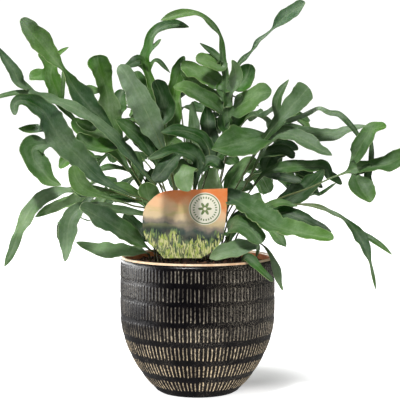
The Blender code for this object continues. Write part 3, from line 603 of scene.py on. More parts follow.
# Strokes dimmer on the upper left: partly a light hand, partly painted to stand in for the sheen there
hand_and_sheen = mix_value(tree, upper_wall, 1.0, ease(tree, from_left, *HAND_AND_SHEEN_STARTS, LIGHT_HAND_AND_SHEEN, 1.0))
press = plus(tree, times(tree, tone, TONE_WEIGHT), ease(tree, patches, 0.36, 0.62, *PATCH_WEIGHTS))
press = plus(tree, press, times(tree, bead, BEAD_WEIGHT))
press = plus(tree, press, ease(tree, height_above, *LOWER_WALL, LOW_WEIGHT, 0.0))
wiped = times(tree, wiped, times(tree, press, hand_and_sheen), clamp=True)
slip = mix_colour(tree, ease(tree, height_above, *TAN_TO_GREY), SLIP_TAN, SLIP_GREY)
ground = use(tree, mottle, Colour=GLAZE_BLACK, Other_Colour=GLAZE_BROWN, Scale=140.0, Amount=0.8)["Colour"]
dusty = times(tree, times(tree, ease(tree, from_left, *DUST_STARTS), upper_wall), DUST_WEIGHT)
dusty = plus(tree, dusty, ease(tree, patches, 0.45, 0.7, 0.0, PATCH_DUST))
speckle = times(tree, ease(tree, noise_at(tree, place, scale=1300.0, detail=2.0), 0.5, 0.7), dusty)
ground = mix_colour(tree, speckle, ground, SLIP_GREY)
feed(tree, shader, {
    "Base Color": mix_colour(tree, wiped, ground, slip),
    "Roughness": plus(tree, times(tree, wiped, 0.3), 0.27), "Specular IOR Level": 0.36,
    "Normal": grained(tree, 0.4, 0.0004, Coarse_Scale=420.0, Fine_Scale=1600.0, Fine_Share=0.5)})

print("glaze:", glaze.name, "with", len(tree.nodes), "nodes")

# %% Rim and clay
rim_glaze, tree, shader = new_material("cream_rim_glaze")
cream = use(tree, mottle, Colour=screen(226, 200, 168), Other_Colour=screen(196, 150, 112),
            Scale=120.0, Amount=0.7)
feed(tree, shader, {
    "Base Color": cream["Colour"], "Roughness": ease(tree, cream["Mask"], 0.0, 1.0, 0.38, 0.55),
    "Normal": grained(tree, 0.25, 0.0004, Coarse_Scale=300.0, Fine_Scale=1500.0)})

clay, tree, shader = new_material("bare_terracotta")
earthy = use(tree, mottle, Colour=screen(198, 122, 74), Other_Colour=screen(164, 88, 50),
             Scale=90.0, Amount=0.8)
feed(tree, shader, {
    "Base Color": earthy["Colour"], "Roughness": 0.85,
    "Normal": grained(tree, 0.5, 0.0005, Coarse_Scale=500.0, Fine_Scale=2400.0, Fine_Share=0.7)})
print("finishes:", rim_glaze.name, clay.name)

# %% Pot piece
BODY = "root"


def keep_values(mesh, values):
    """Stores values on the mesh's points, where a material reads them by name."""
    for name, numbers in values.items():
        numbers = np.array(numbers, np.float32)
        kind, field = ("FLOAT", "value") if numbers.ndim == 1 else ("FLOAT_VECTOR", "vector")
        mesh.attributes.new(name, kind, "POINT").data.foreach_set(field, numbers.ravel())


pot_piece = add_object("glazed_pot", pot_points, pot_faces, [glaze, rim_glaze, clay])
pot_piece.data.polygons.foreach_set("material_index", pot_finish)
keep_values(pot_piece.data, pot_values)
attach(pot_piece, BODY)
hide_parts("pot")
print("pot piece:", len(pot_piece.data.polygons), "faces")

# %% [markdown]
# ## Soil
#
# Potting mix is crumbs of peat and bark of many sizes, heaped a little in the middle. A bumpy sheet alone
# looks like mud, and loose crumbs alone leave holes. So a rough mound closes the pot, and small faceted
# crumbs are sunk halfway into it. All of them are one mesh, because instances would be lost when the part
# is exported.

# %% Soil mound
SOIL_EDGE = 128.0
SOIL_MIDDLE = 131.5
SOIL_GAP = 0.6
MOUND_EDGE = POT_RADIUS - WALL - SOIL_GAP
# The mound reaches its full height this much sooner than the middle
MOUND_STEEPNESS = 1.6
MOUND_RINGS = 34
FIRST_RING = 0.15
MOUND_SPOKES = 110
MOUND_HEIGHTS = (FLOOR_THICKNESS + 0.3, 13, 31, 50, 72, 110, SOIL_EDGE - 0.4)
# Lumps of the mound: how high they stand, how wide they are, and where the noise is read
LUMPS = ((0.7, 7.0, 0), (0.45, 2.6, 5))


def soil_height(x, y):
    """The soil is a low mound."""
    middle = max(0.0, 1.0 - math.hypot(x, y) / POT_RADIUS)
    return SOIL_EDGE + (SOIL_MIDDLE - SOIL_EDGE) * min(1.0, MOUND_STEEPNESS * middle)


def mound_place(radius, angle):
    """A place on the rough top of the mound."""
    x, y = radius * math.cos(angle), radius * math.sin(angle)
    lumps = [rise * noise.noise((x / size, y / size, layer)) for rise, size, layer in LUMPS]
    return Vector((x, y, soil_height(x, y) + sum(lumps)))


def mound_shape():
    """Points and faces of a closed mound with a rough top."""
    angles = [2 * math.pi * spoke / MOUND_SPOKES for spoke in range(MOUND_SPOKES)]
    points = []
    for height in MOUND_HEIGHTS:
        radius = profile_radius(height) - WALL - SOIL_GAP
        points += [(radius * math.cos(angle), radius * math.sin(angle), height) for angle in angles]
    for ring in range(MOUND_RINGS):
        radius = MOUND_EDGE * (1 - (ring + FIRST_RING) / MOUND_RINGS)
        points += [mound_place(radius, angle) for angle in angles]
    return points, tube_faces(len(points) // MOUND_SPOKES, MOUND_SPOKES)


soil_points, soil_faces = mound_shape()
print("mound:", len(soil_faces), "faces")

# %% Soil crumbs
CRUMBS = 2300
CRUMB_SEED = 8
EDGE_CLEAR = 1.5
CRUMB_SIZES = (0.5, 2.1)
# A high power makes most crumbs small
SIZE_POWER = 2.4
CRUMB_STRETCH = ((0.7, 1.5), (0.6, 1.1), (0.5, 0.9))
CORNER_SWELL = (0.8, 1.15)
CRUMB_RISE = 0.25
FULL_TURN = 6.3
MOUND_SHADE = 0.3


def crumb_ball():
    """Corners and sides of a small faceted ball."""
    ball = bmesh.new()
    bmesh.ops.create_icosphere(ball, subdivisions=1, radius=1.0)
    corners = [vertex.co.copy() for vertex in ball.verts]
    sides = [tuple(vertex.index for vertex in face.verts) for face in ball.faces]
    ball.free()
    return corners, sides


def add_crumbs(points, faces):
    """Sinks crumbs into the mound. Returns a shade from 0 to 1 for each point of mound and crumbs."""
    draw = random.Random(CRUMB_SEED)
    corners, sides = crumb_ball()
    shade = [MOUND_SHADE] * len(points)
    smallest, largest = CRUMB_SIZES
    for _ in range(CRUMBS):
        radius = (MOUND_EDGE - EDGE_CLEAR) * math.sqrt(draw.random())
        centre = mound_place(radius, draw.uniform(0, 2 * math.pi))
        size = smallest + (largest - smallest) * draw.random() ** SIZE_POWER
        turn = Matrix.Rotation(draw.uniform(0, FULL_TURN), 3, "X")
        turn = turn @ Matrix.Rotation(draw.uniform(0, FULL_TURN), 3, "Z")
        stretch = [draw.uniform(*span) for span in CRUMB_STRETCH]
        centre.z += size * CRUMB_RISE
        first = len(points)
        for corner in corners:
            bumped_corner = corner * draw.uniform(*CORNER_SWELL)
            points.append(centre + turn @ Vector([a * b * size for a, b in zip(bumped_corner, stretch)]))
        faces += [tuple(first + corner for corner in side) for side in sides]
        shade += [draw.random()] * len(corners)
    return shade


soil_shade = add_crumbs(soil_points, soil_faces)
print("soil:", CRUMBS, "crumbs,", len(soil_faces), "faces")

# %% Soil finish and piece
earth, tree, shader = new_material("dark_potting_mix")
dark = use(tree, mottle, Colour=screen(30, 20, 15), Other_Colour=screen(52, 34, 26), Scale=260.0, Amount=0.9)
light = use(tree, mottle, Colour=screen(86, 58, 46), Other_Colour=screen(112, 80, 62),
            Scale=420.0, Amount=0.8)
peat = mix_colour(tree, ease(tree, stored(tree, "shade"), 0.45, 1.0), dark["Colour"], light["Colour"])
feed(tree, shader, {
    "Base Color": peat, "Roughness": 0.9, "Specular IOR Level": 0.25,
    "Normal": grained(tree, 0.8, 0.0008, Coarse_Scale=900.0, Fine_Scale=3000.0, Fine_Share=0.8)})

soil_piece = add_object("soil_with_crumbs", soil_points, soil_faces, [earth])
keep_values(soil_piece.data, {"shade": soil_shade})
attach(soil_piece, BODY)
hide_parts("soil")
heights = [point[2] for point in soil_points]
print("soil piece from", round(min(heights), 1), "to", round(max(heights), 1))

# %% [markdown]
# ## Plant tag
#
# The tag is a thin stiff card, printed on the front and white at its cut edge, with a spike in the soil.
# Its outline is a few points joined by curves, with square corners where the card has them. The print is
# generic: a warm sky with a yellow haze, a dark line of trees, a meadow of fine tufts, and a cream disc
# with a ring, a circle of dashes and a six-petalled flower. Below the card the spike is dark brown. An
# image could carry a print. Bands and tufts worked out from the distance along the card stay sharp at any
# size instead.

# %% Where a place shows
def seen(across, up, back):
    """The place in space of a point by where it shows from in front of the pot."""
    scale = (EYE_DISTANCE + back) / EYE_DISTANCE
    return Vector((across * scale, back, EYE_HEIGHT + (up - EYE_HEIGHT) * scale))


def shown(place):
    """Where a place in space shows from in front of the pot, and how far back it lies."""
    scale = EYE_DISTANCE / (EYE_DISTANCE + place.y)
    return (place.x * scale, EYE_HEIGHT + (place.z - EYE_HEIGHT) * scale, place.y)


print("a place 100 mm back and 300 mm up shows at", round(shown(Vector((0, 100, 300)))[1], 1), "mm")

# %% Tag outline
TAG_BACK = -24.0
TAG_THICK = 0.8
SPIKE_SIDES = (-8.0, -15.0)
SPIKE_POINT = 6.0
SPIKE_DEPTH = 22.0
TAG_OUTLINE = ((-42, 143), (-51, 151), (-54.5, 163), (-55, 176), (-52, 186), (-45, 194), (-37, 199.5),
               (-27, 202), (30, 204), (29.5, 186), (27, 163), (24, 151), (15, 141), (3, 133.5), (-34, 133.5))
SQUARE_CORNERS = (7, 8, 13, 14)
CURVE_STEPS = 5


def curve_between(before, start, end, after, steps):
    """Points of a smooth curve from start up to end, through its neighbours before and after."""
    made = []
    for step in range(steps):
        t = step / steps
        pull = (end - before) * t * (1 - t) ** 2 - (after - start) * t * t * (1 - t)
        made.append(start + (end - start) * (3 * t * t - 2 * t ** 3) + pull * 0.5)
    return made


def curved_outline():
    """The card's outline: a curve through its points, straight between square corners."""
    made = []
    count = len(TAG_OUTLINE)
    for index in range(count):
        before, start, end, after = (Vector(TAG_OUTLINE[(index + step) % count]) for step in (-1, 0, 1, 2))
        if index in SQUARE_CORNERS:
            before = start
        if (index + 1) % count in SQUARE_CORNERS:
            after = end
        made += curve_between(before, start, end, after, CURVE_STEPS)
    return made


def tag_shape():
    """Front, back and edge of the card, with the material of each face."""
    outline = curved_outline()
    bottom = TAG_OUTLINE[-1][1]
    first_below = max(index for index, (across, up) in enumerate(outline)
                      if abs(up - bottom) < 0.01 and across > SPIKE_SIDES[0])
    places = [seen(across, up, TAG_BACK) for across, up in outline]
    right, left = (seen(across, bottom, TAG_BACK) for across in SPIKE_SIDES)
    foot = soil_height(0, TAG_BACK) - SPIKE_DEPTH
    spike = [right, Vector((right.x, TAG_BACK, foot + SPIKE_POINT)),
             Vector(((right.x + left.x) / 2, TAG_BACK, foot)),
             Vector((left.x, TAG_BACK, foot + SPIKE_POINT)), left]
    later = [place for place in places[first_below + 1:] if place.x < left.x]
    places = places[:first_below + 1] + spike + later
    step = Vector((0, TAG_THICK / 2, 0))
    count = len(places)
    points = [place - step for place in places] + [place + step for place in places]
    faces = [tuple(reversed(range(count))), tuple(range(count, 2 * count))]
    faces += [(index, (index + 1) % count, count + (index + 1) % count, count + index)
              for index in range(count)]
    return points, faces, [0, 1] + [1] * count


tag_points, tag_faces, tag_finish = tag_shape()
print("tag outline:", len(tag_points) // 2, "points")

# %% Tag print: sky and trees
# Bands of the picture, by share of the height between two levels: a slant and a cloud bend them
BAND_LEVELS = (0.142, 0.225)
BAND_SLANT = 0.16
BAND_CLOUD = 0.03
BAND_COLOURS = ((0.0, (88, 104, 72)), (0.2, (70, 86, 74)), (0.31, (42, 58, 56)), (0.4, (66, 84, 80)),
                (0.49, (150, 138, 124)), (0.6, (226, 202, 160)), (0.78, (246, 198, 152)),
                (0.93, (232, 130, 64)))
# The haze: heights between which it sets in and ends, and its strength
HAZE_RISE = (0.164, 0.176)
HAZE_FALL = (0.184, 0.194)
HAZE_STRENGTH = 0.55

card_print, tree, shader = new_material("generic_tag_print")
place = object_place(tree)
across, _, up = split(tree, place)
cloud = noise_at(tree, place, scale=42.0, detail=5.0)
level = plus(tree, plus(tree, up, times(tree, across, BAND_SLANT)), times(tree, cloud, BAND_CLOUD))
bands = add_node(tree, "ShaderNodeValToRGB", {"Fac": ease(tree, level, *BAND_LEVELS)})
bands.color_ramp.interpolation = "EASE"
while len(bands.color_ramp.elements) < len(BAND_COLOURS):
    bands.color_ramp.elements.new(0.5)
for element, (at, colour) in zip(bands.color_ramp.elements, BAND_COLOURS):
    element.position = at
    element.color = screen(*colour)
haze = ease(tree, noise_at(tree, drawn_out(tree, place, (0.5, 1.0, 1.4)), scale=60.0, detail=4.0), 0.44, 0.6)
haze = times(tree, times(tree, haze, belt(tree, up, HAZE_RISE, HAZE_FALL)), HAZE_STRENGTH)
printed = mix_colour(tree, haze, bands.outputs["Color"], screen(196, 190, 112))
print("bands of the sky:", len(BAND_COLOURS))

# %% Tag print: meadow
# Layers of tufts from back to front: scale of the noise, lean, height where they end and colour
TUFTS = ((420.0, 0.9, 0.182, (112, 138, 92)), (760.0, -0.4, 0.17, (94, 116, 60)),
         (600.0, -0.8, 0.178, (176, 194, 92)), (700.0, 0.7, 0.176, (220, 220, 156)))
TUFT_SHAPE = (1.0, 1.0, 0.26)
TUFT_EDGE = (0.5, 0.55)
MEADOW_EASE = 0.004
MEADOW_CLOUD = 0.05
# The meadow's jagged upper line: how far it steps, and the tufts that it follows
JAGGED = 0.012
JAGGED_TUFTS = (300.0, 0.2, (0.3, 0.7))


def tufts(tree, place, scale, lean, edge):
    """A mask of fine upright tufts: noise drawn out and leaning."""
    return ease(tree, noise_at(tree, drawn_out(tree, place, TUFT_SHAPE, lean), scale, detail=2.0), *edge)


meadow_height = plus(tree, up, times(tree, cloud, MEADOW_CLOUD))
jagged = times(tree, tufts(tree, place, *JAGGED_TUFTS), JAGGED)
meadow_height = minus(tree, meadow_height, jagged)
for scale, lean, top, colour in TUFTS:
    meadow = ease(tree, meadow_height, top - MEADOW_EASE, top, 1.0, 0.0)
    mask = times(tree, tufts(tree, place, scale, lean, TUFT_EDGE), meadow)
    printed = mix_colour(tree, mask, printed, screen(*colour))
print("layers of tufts:", len(TUFTS))

# %% Tag print: disc
# The disc and what is drawn on it, by share of its radius
DISC_CENTRE = (7.5, 183.5)
DISC_RADIUS = 16.0
DISC_EDGE = (0.98, 1.01)
RING_RISE = (0.87, 0.89)
RING_FALL = (0.93, 0.95)
DASHES = 28
DASH_EDGE = (0.2, 0.26)
DASH_RISE = (0.62, 0.64)
DASH_FALL = (0.74, 0.76)
PETALS = 6
PETAL_SWING = 0.12
PETAL_REACH = 0.3
PETAL_EDGE = (-0.02, 0.02)
FLOWER_EYE = (0.08, 0.11)

centre = seen(*DISC_CENTRE, TAG_BACK) * MM
side_step = minus(tree, across, centre.x)
rise_step = minus(tree, up, centre.z)
squares = plus(tree, times(tree, side_step, side_step), times(tree, rise_step, rise_step))
reach = calculate(tree, "DIVIDE", calculate(tree, "SQRT", squares), DISC_RADIUS * MM)
printed = mix_colour(tree, ease(tree, reach, *DISC_EDGE, 1.0, 0.0), printed, screen(240, 236, 218))
turned = calculate(tree, "ARCTAN2", rise_step, side_step)
swing = calculate(tree, "COSINE", times(tree, turned, float(PETALS)))
petal_edge = calculate(tree, "MULTIPLY_ADD", swing, PETAL_SWING, PETAL_REACH)
flower = ease(tree, minus(tree, reach, petal_edge), *PETAL_EDGE, 1.0, 0.0)
flower = times(tree, flower, ease(tree, reach, *FLOWER_EYE))
from_dash = minus(tree, calculate(tree, "FRACT", times(tree, turned, DASHES / (2 * math.pi))), 0.5)
dashes = ease(tree, calculate(tree, "ABSOLUTE", from_dash), *DASH_EDGE, 1.0, 0.0)
dashes = times(tree, dashes, belt(tree, reach, DASH_RISE, DASH_FALL))
marks = plus(tree, belt(tree, reach, RING_RISE, RING_FALL), plus(tree, flower, dashes), clamp=True)
printed = mix_colour(tree, marks, printed, screen(98, 124, 66))
print("disc:", DASHES, "dashes and", PETALS, "petals")

# %% Card finishes and tag piece
# Heights in metres over which the dark spike turns into the print
SPIKE_TOP = (0.1362, 0.1368)

printed = use(tree, mottle, Colour=printed, Other_Colour=screen(226, 204, 168), Scale=110.0, Amount=0.1)
dark_spike = ease(tree, up, *SPIKE_TOP, 1.0, 0.0)
feed(tree, shader, {"Base Color": mix_colour(tree, dark_spike, printed["Colour"], screen(40, 28, 22)),
                    "Roughness": ease(tree, printed["Mask"], 0.0, 1.0, 0.4, 0.5)})

card_white, tree, shader = new_material("white_card")
plain = use(tree, mottle, Colour=screen(236, 232, 222), Other_Colour=screen(214, 208, 196),
            Scale=80.0, Amount=0.6)
feed(tree, shader, {"Base Color": plain["Colour"], "Roughness": 0.5})

tag_piece = add_object("printed_plant_tag", tag_points, tag_faces, [card_print, card_white])
tag_piece.data.polygons.foreach_set("material_index", tag_finish)
tag_piece.data.set_sharp_from_angle(angle=math.radians(30))
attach(tag_piece, BODY)
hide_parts("plant_tag")
print("tag piece stands", TAG_BACK, "mm in front of the pot's axis")

# %% [markdown]
# ## Fronds: how each one lies
#
# A frond grows from the soil on one stalk. The stalk runs on as a rib with a blade along it, and the blade
# carries lobes on both sides and one at its end. In the table a frond is a name, the place of its root on
# the soil, its rib and its lobes. A point of the rib is (across, up, back, width): where it shows in the
# upright plane through the pot's axis, how far behind that plane it lies, and the blade's width there. A
# lobe is its full width and its points from the rib outwards. A rule could grow the plant, but no rule
# finds the fronds of one photograph, so those that show from in front were read from it one by one.

# %% The fronds that show from in front
FRONDS = (
    ("left_crown", (-16, 4),
     ((-47, 191, 0, 2), (-72, 236, 2, 2.2), (-91, 268, 0, 9), (-106, 284, -3, 18), (-117, 297, -6, 21),
      (-125, 309, -8, 13), (-133, 322, -10, 4.5), (-142, 332, -12, 12), (-151, 343, -15, 19),
      (-160, 354, -20, 21), (-167, 362, -24, 18), (-173, 369, -27, 10), (-176, 372, -29, 0)),
     ((18, ((-79, 249, 2), (-97, 245, -8), (-111, 250, -12), (-119, 260, -14))),
      (13, ((-91, 270, 0), (-104, 266, 6), (-121, 270, 8))))),
    ("left_trident", (-20, 24),
     ((-47, 196, 22, 2), (-87, 239, 30, 2), (-117, 267, 33, 3), (-137, 288, 34, 9), (-141, 303, 34, 15),
      (-146, 316, 33, 16), (-144, 328, 33, 11), (-138, 338, 32, 6), (-128, 345, 31, 0)),
     ((15, ((-146, 314, 33), (-157, 320, 32), (-168, 314, 30))),
      (8, ((-145, 327, 33), (-153, 333, 32), (-158, 339, 31))),
      (4, ((-138, 291, 34), (-134, 306, 35), (-133, 323, 35))))),
    ("left_long", (-26, -4),
     ((-37, 196, -6, 2), (-55, 221, -6, 4), (-71, 242, -8, 11), (-90, 262, -11, 11), (-110, 277, -15, 10),
      (-129, 287, -21, 12), (-149, 294, -29, 10), (-169, 299, -38, 7), (-189, 298, -47, 6),
      (-205, 293, -54, 0)),
     ((11, ((-166, 299, -37), (-177, 310, -44), (-183, 322, -46), (-192, 334, -48), (-200, 347, -50))),)),
    ("left_broad", (-30, -12),
     ((-45, 186, -20, 2), (-68, 198, -28, 3), (-88, 208, -35, 8), (-104, 220, -42, 18),
      (-119, 236, -49, 22), (-134, 250, -54, 25), (-144, 266, -61, 26), (-152, 280, -68, 22),
      (-162, 288, -74, 18), (-173, 292, -80, 13), (-182, 289, -84, 8), (-182, 277, -87, 0)),
     ((10, ((-146, 268, -62), (-164, 263, -66), (-179, 264, -70))),
      (21, ((-139, 257, -58), (-154, 254, -64), (-164, 246, -70), (-164, 234, -74), (-156, 223, -78),
            (-147, 213, -80), (-136, 207, -82))))),
    ("left_round", (-34, -16),
     ((-46, 178, -12, 2), (-66, 187, -36, 2), (-93, 196, -58, 5), (-111, 203, -66, 13),
      (-120, 212, -70, 16), (-123, 220, -71, 12), (-124, 227, -71, 0)),
     ((10, ((-99, 198, -62), (-112, 198, -64), (-126, 204, -62))),)),
    ("left_droop", (-36, -8),
     ((-42, 181, -12, 2), (-65, 194, -32, 2), (-87, 201, -45, 4), (-107, 204, -54, 7),
      (-127, 203, -62, 9), (-147, 199, -70, 12), (-163, 188, -78, 13), (-174, 171, -86, 12),
      (-182, 153, -92, 9), (-187, 139, -95, 8), (-194, 125, -98, 0)),
     ((15, ((-107, 204, -54), (-127, 191, -60), (-146, 185, -64), (-163, 175, -66))),
      (12, ((-86, 201, -45), (-97, 191, -42), (-110, 185, -40))))),
    ("left_low", (-38, -14),
     ((-47, 173, -14, 2), (-59, 179, -30, 7), (-73, 181, -46, 10), (-89, 184, -60, 9), (-104, 187, -72, 8),
      (-117, 184, -82, 11), (-126, 176, -88, 15), (-130, 163, -92, 17), (-131, 148, -95, 13),
      (-132, 137, -97, 6), (-133, 130, -98, 0)),
     ((7, ((-127, 174, -88), (-137, 165, -84), (-138, 151, -84))),)),
    ("left_blade", (-44, -14),
     ((-47, 142, -16, 2), (-56, 149, -28, 12), (-70, 158, -44, 21), (-86, 168, -58, 24),
      (-101, 177, -70, 21), (-111, 182, -78, 14), (-118, 184, -82, 0)),
     ()),
    ("left_rim", (-50, -12),
     ((-52, 140, -18, 4), (-60, 141, -24, 9), (-72, 141, -32, 14), (-86, 141, -40, 15.5),
      (-100, 142, -46, 14), (-111, 145, -50, 9), (-122, 150, -53, 0)),
     ()),
    ("crown_silver", (-10, 0),
     ((-17, 171, -2, 2), (-23, 203, -4, 2), (-30, 231, -8, 3), (-38, 251, -14, 11), (-44, 264, -19, 20),
      (-50, 278, -24, 24), (-57, 292, -29, 24), (-65, 307, -33, 21), (-72, 319, -36, 15),
      (-78, 327, -37, 0)),
     ((16, ((-28, 225, -7), (-45, 241, -4), (-59, 257, -4), (-70, 273, -4))),)),
    ("crown_tall", (-6, 12),
     ((-15, 176, 10, 2), (-24, 219, 12, 2.2), (-32, 256, 14, 4), (-40, 286, 12, 7), (-46, 308, 10, 9),
      (-51, 323, 8, 8), (-53, 334, 7, 9), (-49, 345, 6, 11), (-46, 353, 4, 11), (-41, 361, 0, 12),
      (-33, 366, -5, 12), (-23, 367, -10, 9), (-8, 364.5, -16, 0)),
     ((13, ((-50, 325, 8), (-57, 332, 0), (-66, 328, -6), (-76, 321, -10))),
      (5, ((-50, 327, 8), (-41, 332, 2), (-34, 326, 0), (-27, 319, -1))),
      (5, ((-47, 346, 6), (-36, 352.5, 4))),
      (20, ((-36, 272, 13), (-32, 281, 4), (-36, 296, 0), (-43, 312, -2))),
      (13, ((-30, 251, 14), (-23, 272, 18), (-24, 296, 20), (-19, 318, 20), (-13, 336, 18))),
      (12, ((-44, 300, 11), (-56, 308, 16), (-62, 321, 18))))),
    ("crown_centre", (4, 6),
     ((8, 176, 6, 2), (17, 209, 6, 2), (25, 241, 4, 3), (29, 269, 0, 7), (30, 291, -2, 8),
      (28.5, 313, -4, 6.5), (26, 329, -5, 6.5), (24.5, 341, -5, 6), (24, 350, -6, 4.5),
      (22.5, 357, -7, 2.4), (18, 363, -9, 5.5), (10, 371, -13, 6.5), (1, 376.5, -17, 7.5),
      (-12, 378.5, -20, 9), (-24, 375.5, -23, 8), (-37, 371, -26, 0)),
     ((6, ((24, 338, -5), (12, 342, -6), (2, 349, -7))),
      (16, ((25, 326, -5), (12, 331, -10), (-2, 333, -15))),
      (20, ((28, 306, -4), (14, 313, 2), (1, 320, 4), (-9, 325, 4), (-17, 325, 4))),
      (10, ((29, 294, -2), (11, 301, 10), (-4, 310, 14), (-16, 318, 16))),
      (16, ((30, 281, -1), (14, 291, -12), (-1, 299, -17), (-12, 305, -20), (-24, 305, -22))),
      (14, ((30, 294, -2), (36, 307, -12), (38, 320, -16), (34, 332, -18))),
      (20, ((29, 306, -3), (40, 305, 6), (49, 316, 8), (53, 328, 8))),
      (24, ((30, 279, -1), (46, 289, -14), (60, 297, -22), (74, 300, -28))),
      (16, ((29, 264, 0), (44, 283, 10), (56, 299, 14), (65, 308, 14))))),
    ("right_whip", (10, 14),
     ((15, 179, 16, 2), (25, 219, 20, 2), (31, 256, 20, 2), (34, 291, 18, 2), (36, 311, 14, 2),
      (41, 328, 10, 4), (47, 334, 8, 6), (54, 341, 4, 2), (60, 350, 0, 7), (67, 356, -4, 4),
      (74, 362, -8, 2), (81, 370, -11, 11), (90, 377, -15, 15), (99, 383, -19, 13), (107, 389, -23, 0)),
     ()),
    ("right_fork", (14, 4),
     ((25, 177, 0, 2), (41, 209, -4, 2), (57, 238, -6, 3), (71, 259, -8, 7), (81, 271, -11, 12),
      (92, 284, -15, 20), (102, 295, -19, 22), (107, 301, -21, 20), (111, 305, -22, 0)),
     ((38, ((70, 258, -8), (56, 255, -24), (37, 249, -36), (14, 243, -44))),
      (9, ((82, 275, -11), (79, 288, -6), (83, 301, -5), (91, 313, -4))),
      (6, ((84, 275, -13), (101, 275, -8), (113, 280.5, -11), (122, 284, -15), (131, 280, -19),
           (140, 279, -22), (147, 273.5, -26), (156, 264, -29), (164, 252, -31))))),
    ("right_silver", (18, 0),
     ((29, 175, -4, 2), (47, 205, -8, 2), (60, 231, -12, 3), (68, 247, -15, 6), (78, 258, -19, 12),
      (93, 259, -27, 14), (108, 252, -37, 16), (121, 244, -45, 11), (135, 237, -51, 0)),
     ((16, ((73, 252, -16), (88, 264, -10), (106, 259, -6), (124, 257, -12), (139, 259, -20),
            (154, 264, -27), (170, 267, -33))),
      (14, ((64, 239, -14), (81, 241, -4), (98, 238, 0))))),
    ("right_dark", (22, 8),
     ((31, 171, 4, 2), (51, 199, 6, 2), (65, 217, 4, 4), (81, 224, 0, 11), (98, 226, -8, 14),
      (114, 226, -16, 14), (125, 226, -22, 13), (131, 221, -25, 9), (131, 213, -26, 0)),
     ((9, ((69, 219, 3), (80, 216, -12), (92, 214, -20), (104, 211, -26))),
      (18, ((69, 219, 3), (73, 235, 12), (86, 245, 16), (101, 243, 16))))),
    ("right_far", (26, -2),
     ((35, 165, -6, 2), (59, 184, -14, 2), (85, 195, -24, 2), (111, 204, -34, 2), (135, 215, -44, 2),
      (149, 220, -50, 3), (157, 224, -54, 12), (169, 226, -58, 12), (182, 227, -62, 14),
      (191, 229, -65, 18), (200, 233, -68, 18), (209, 239, -70, 12), (216, 243, -71, 0)),
     ((15, ((157, 224, -54), (159, 239, -62), (167, 253, -68), (176, 263, -72), (189, 266, -76))),
      (21, ((157, 224, -54), (160, 212, -60), (166, 201, -66), (174, 190, -70))),
      (5, ((172, 226, -58), (174, 239, -52), (174, 253, -50))),
      (7, ((172, 226, -58), (170, 215, -54), (175, 204, -54))))),
    ("right_dark_fork", (28, -4),
     ((36, 162, -5, 2), (51, 175, -7, 2), (68, 183, -11, 3), (84, 190, -16, 12), (99, 198, -22, 22),
      (113, 208, -28, 19), (122, 217, -32, 10), (127, 223, -34, 0)),
     ((12, ((90, 193, -18), (95, 207, -12), (102, 217, -10))),)),
    ("right_front", (8, -10),
     ((13, 165, -10, 2), (18, 183, -12, 4), (28, 195, -14, 13), (38, 193, -21, 18), (48, 187, -34, 21),
      (61, 178, -52, 23), (78, 167, -74, 20), (96, 162, -88, 17), (115, 158, -100, 15),
      (129, 155, -108, 10), (137, 153, -112, 0)),
     ((10, ((78, 167, -72), (82, 156, -74), (89, 145, -75))),
      (8, ((60, 179, -58), (75, 188, -46), (87, 190, -44), (101, 186, -44))),
      (12, ((43, 190, -38), (53, 201, -36), (65, 194, -34))))),
    ("right_wavy", (22, -16),
     ((33, 155, -16, 5), (38, 168, -22, 15), (50, 177, -29, 19), (66, 180, -34, 18), (84, 180, -39, 15),
      (101, 175, -46, 14), (118, 167, -54, 11), (135, 160, -62, 0)),
     ()),
    ("right_trail", (30, -6),
     ((41, 159, -12, 2), (63, 177, -20, 2), (84, 186, -30, 2), (103, 188, -38, 2.2), (119, 186, -46, 4.5),
      (134, 180, -54, 5.5), (146, 174, -60, 3), (155, 166, -64, 7), (164, 154, -68, 11),
      (170, 141, -72, 8), (174, 129, -74, 2), (177, 115, -76, 3), (180, 101, -78, 0)),
     ((6, ((164, 154, -69), (179, 150, -74), (187, 144, -78), (196, 137, -82))),)),
    ("front_blade", (56, -30),
     ((61, 142, -40, 3), (59, 147, -44, 9), (48, 145, -50, 15), (34, 142, -56, 17), (22, 138, -60, 12),
      (12, 133, -63, 0)),
     ()),
    ("front_drip", (44, -50),
     ((45, 130, -55, 3), (49, 135, -62, 8), (55, 131, -70, 9), (62, 124, -77, 7), (69, 117, -81, 6),
      (76, 110, -84, 0)),
     ()),
    ("right_hang", (46, -8),
     ((53, 151, -10, 2), (64, 148, -14, 2), (71, 141, -20, 3), (76, 132, -27, 5), (79.5, 122, -32, 8),
      (81, 114, -35, 7), (83.5, 107, -36, 3), (86, 101, -37, 0)),
     ()),
    ("centre_arch", (0, -4),
     ((-1, 169, -8, 2), (4, 199, -10, 2), (10, 223, -12, 3), (12, 240, -14, 12), (5, 253, -17, 16),
      (-8, 260, -22, 15), (-22, 262, -28, 11), (-37, 260, -34, 0)),
     ((10, ((11, 232, -13), (25, 241, -6), (36, 254, -4))),
      (15, ((13, 241, -14), (12, 258, 8), (10, 272, 18), (9, 286, 22))),
      (11, ((10, 231, -13), (-1, 254, 12), (-4, 273, 22), (-5, 291, 26))))),
    ("centre_wave", (-6, -8),
     ((-7, 167, -12, 2), (-4, 195, -16, 2), (0, 221, -19, 7), (0, 233, -22, 17), (-10, 240, -26, 18),
      (-24, 242, -32, 13), (-37, 238, -38, 8), (-50, 233, -42, 0)),
     ((16, ((-14, 243, -28), (-27, 231, -36), (-37, 219, -42), (-45, 212, -46))),
      (20, ((0, 224, -20), (-11, 227, -34), (-14, 215, -42), (-8, 201, -46))),
      (14, ((0, 224, -20), (13, 231, -18), (25, 223, -22))))),
    ("tag_leaf", (8, -4),
     ((11, 159, -12, 2), (12, 177, -19, 14), (12, 195, -20, 24), (13, 208, -18, 22), (14, 218, -15, 14),
      (14, 225, -12, 0)),
     ()),
    ("left_tag_leaf", (-14, -14),
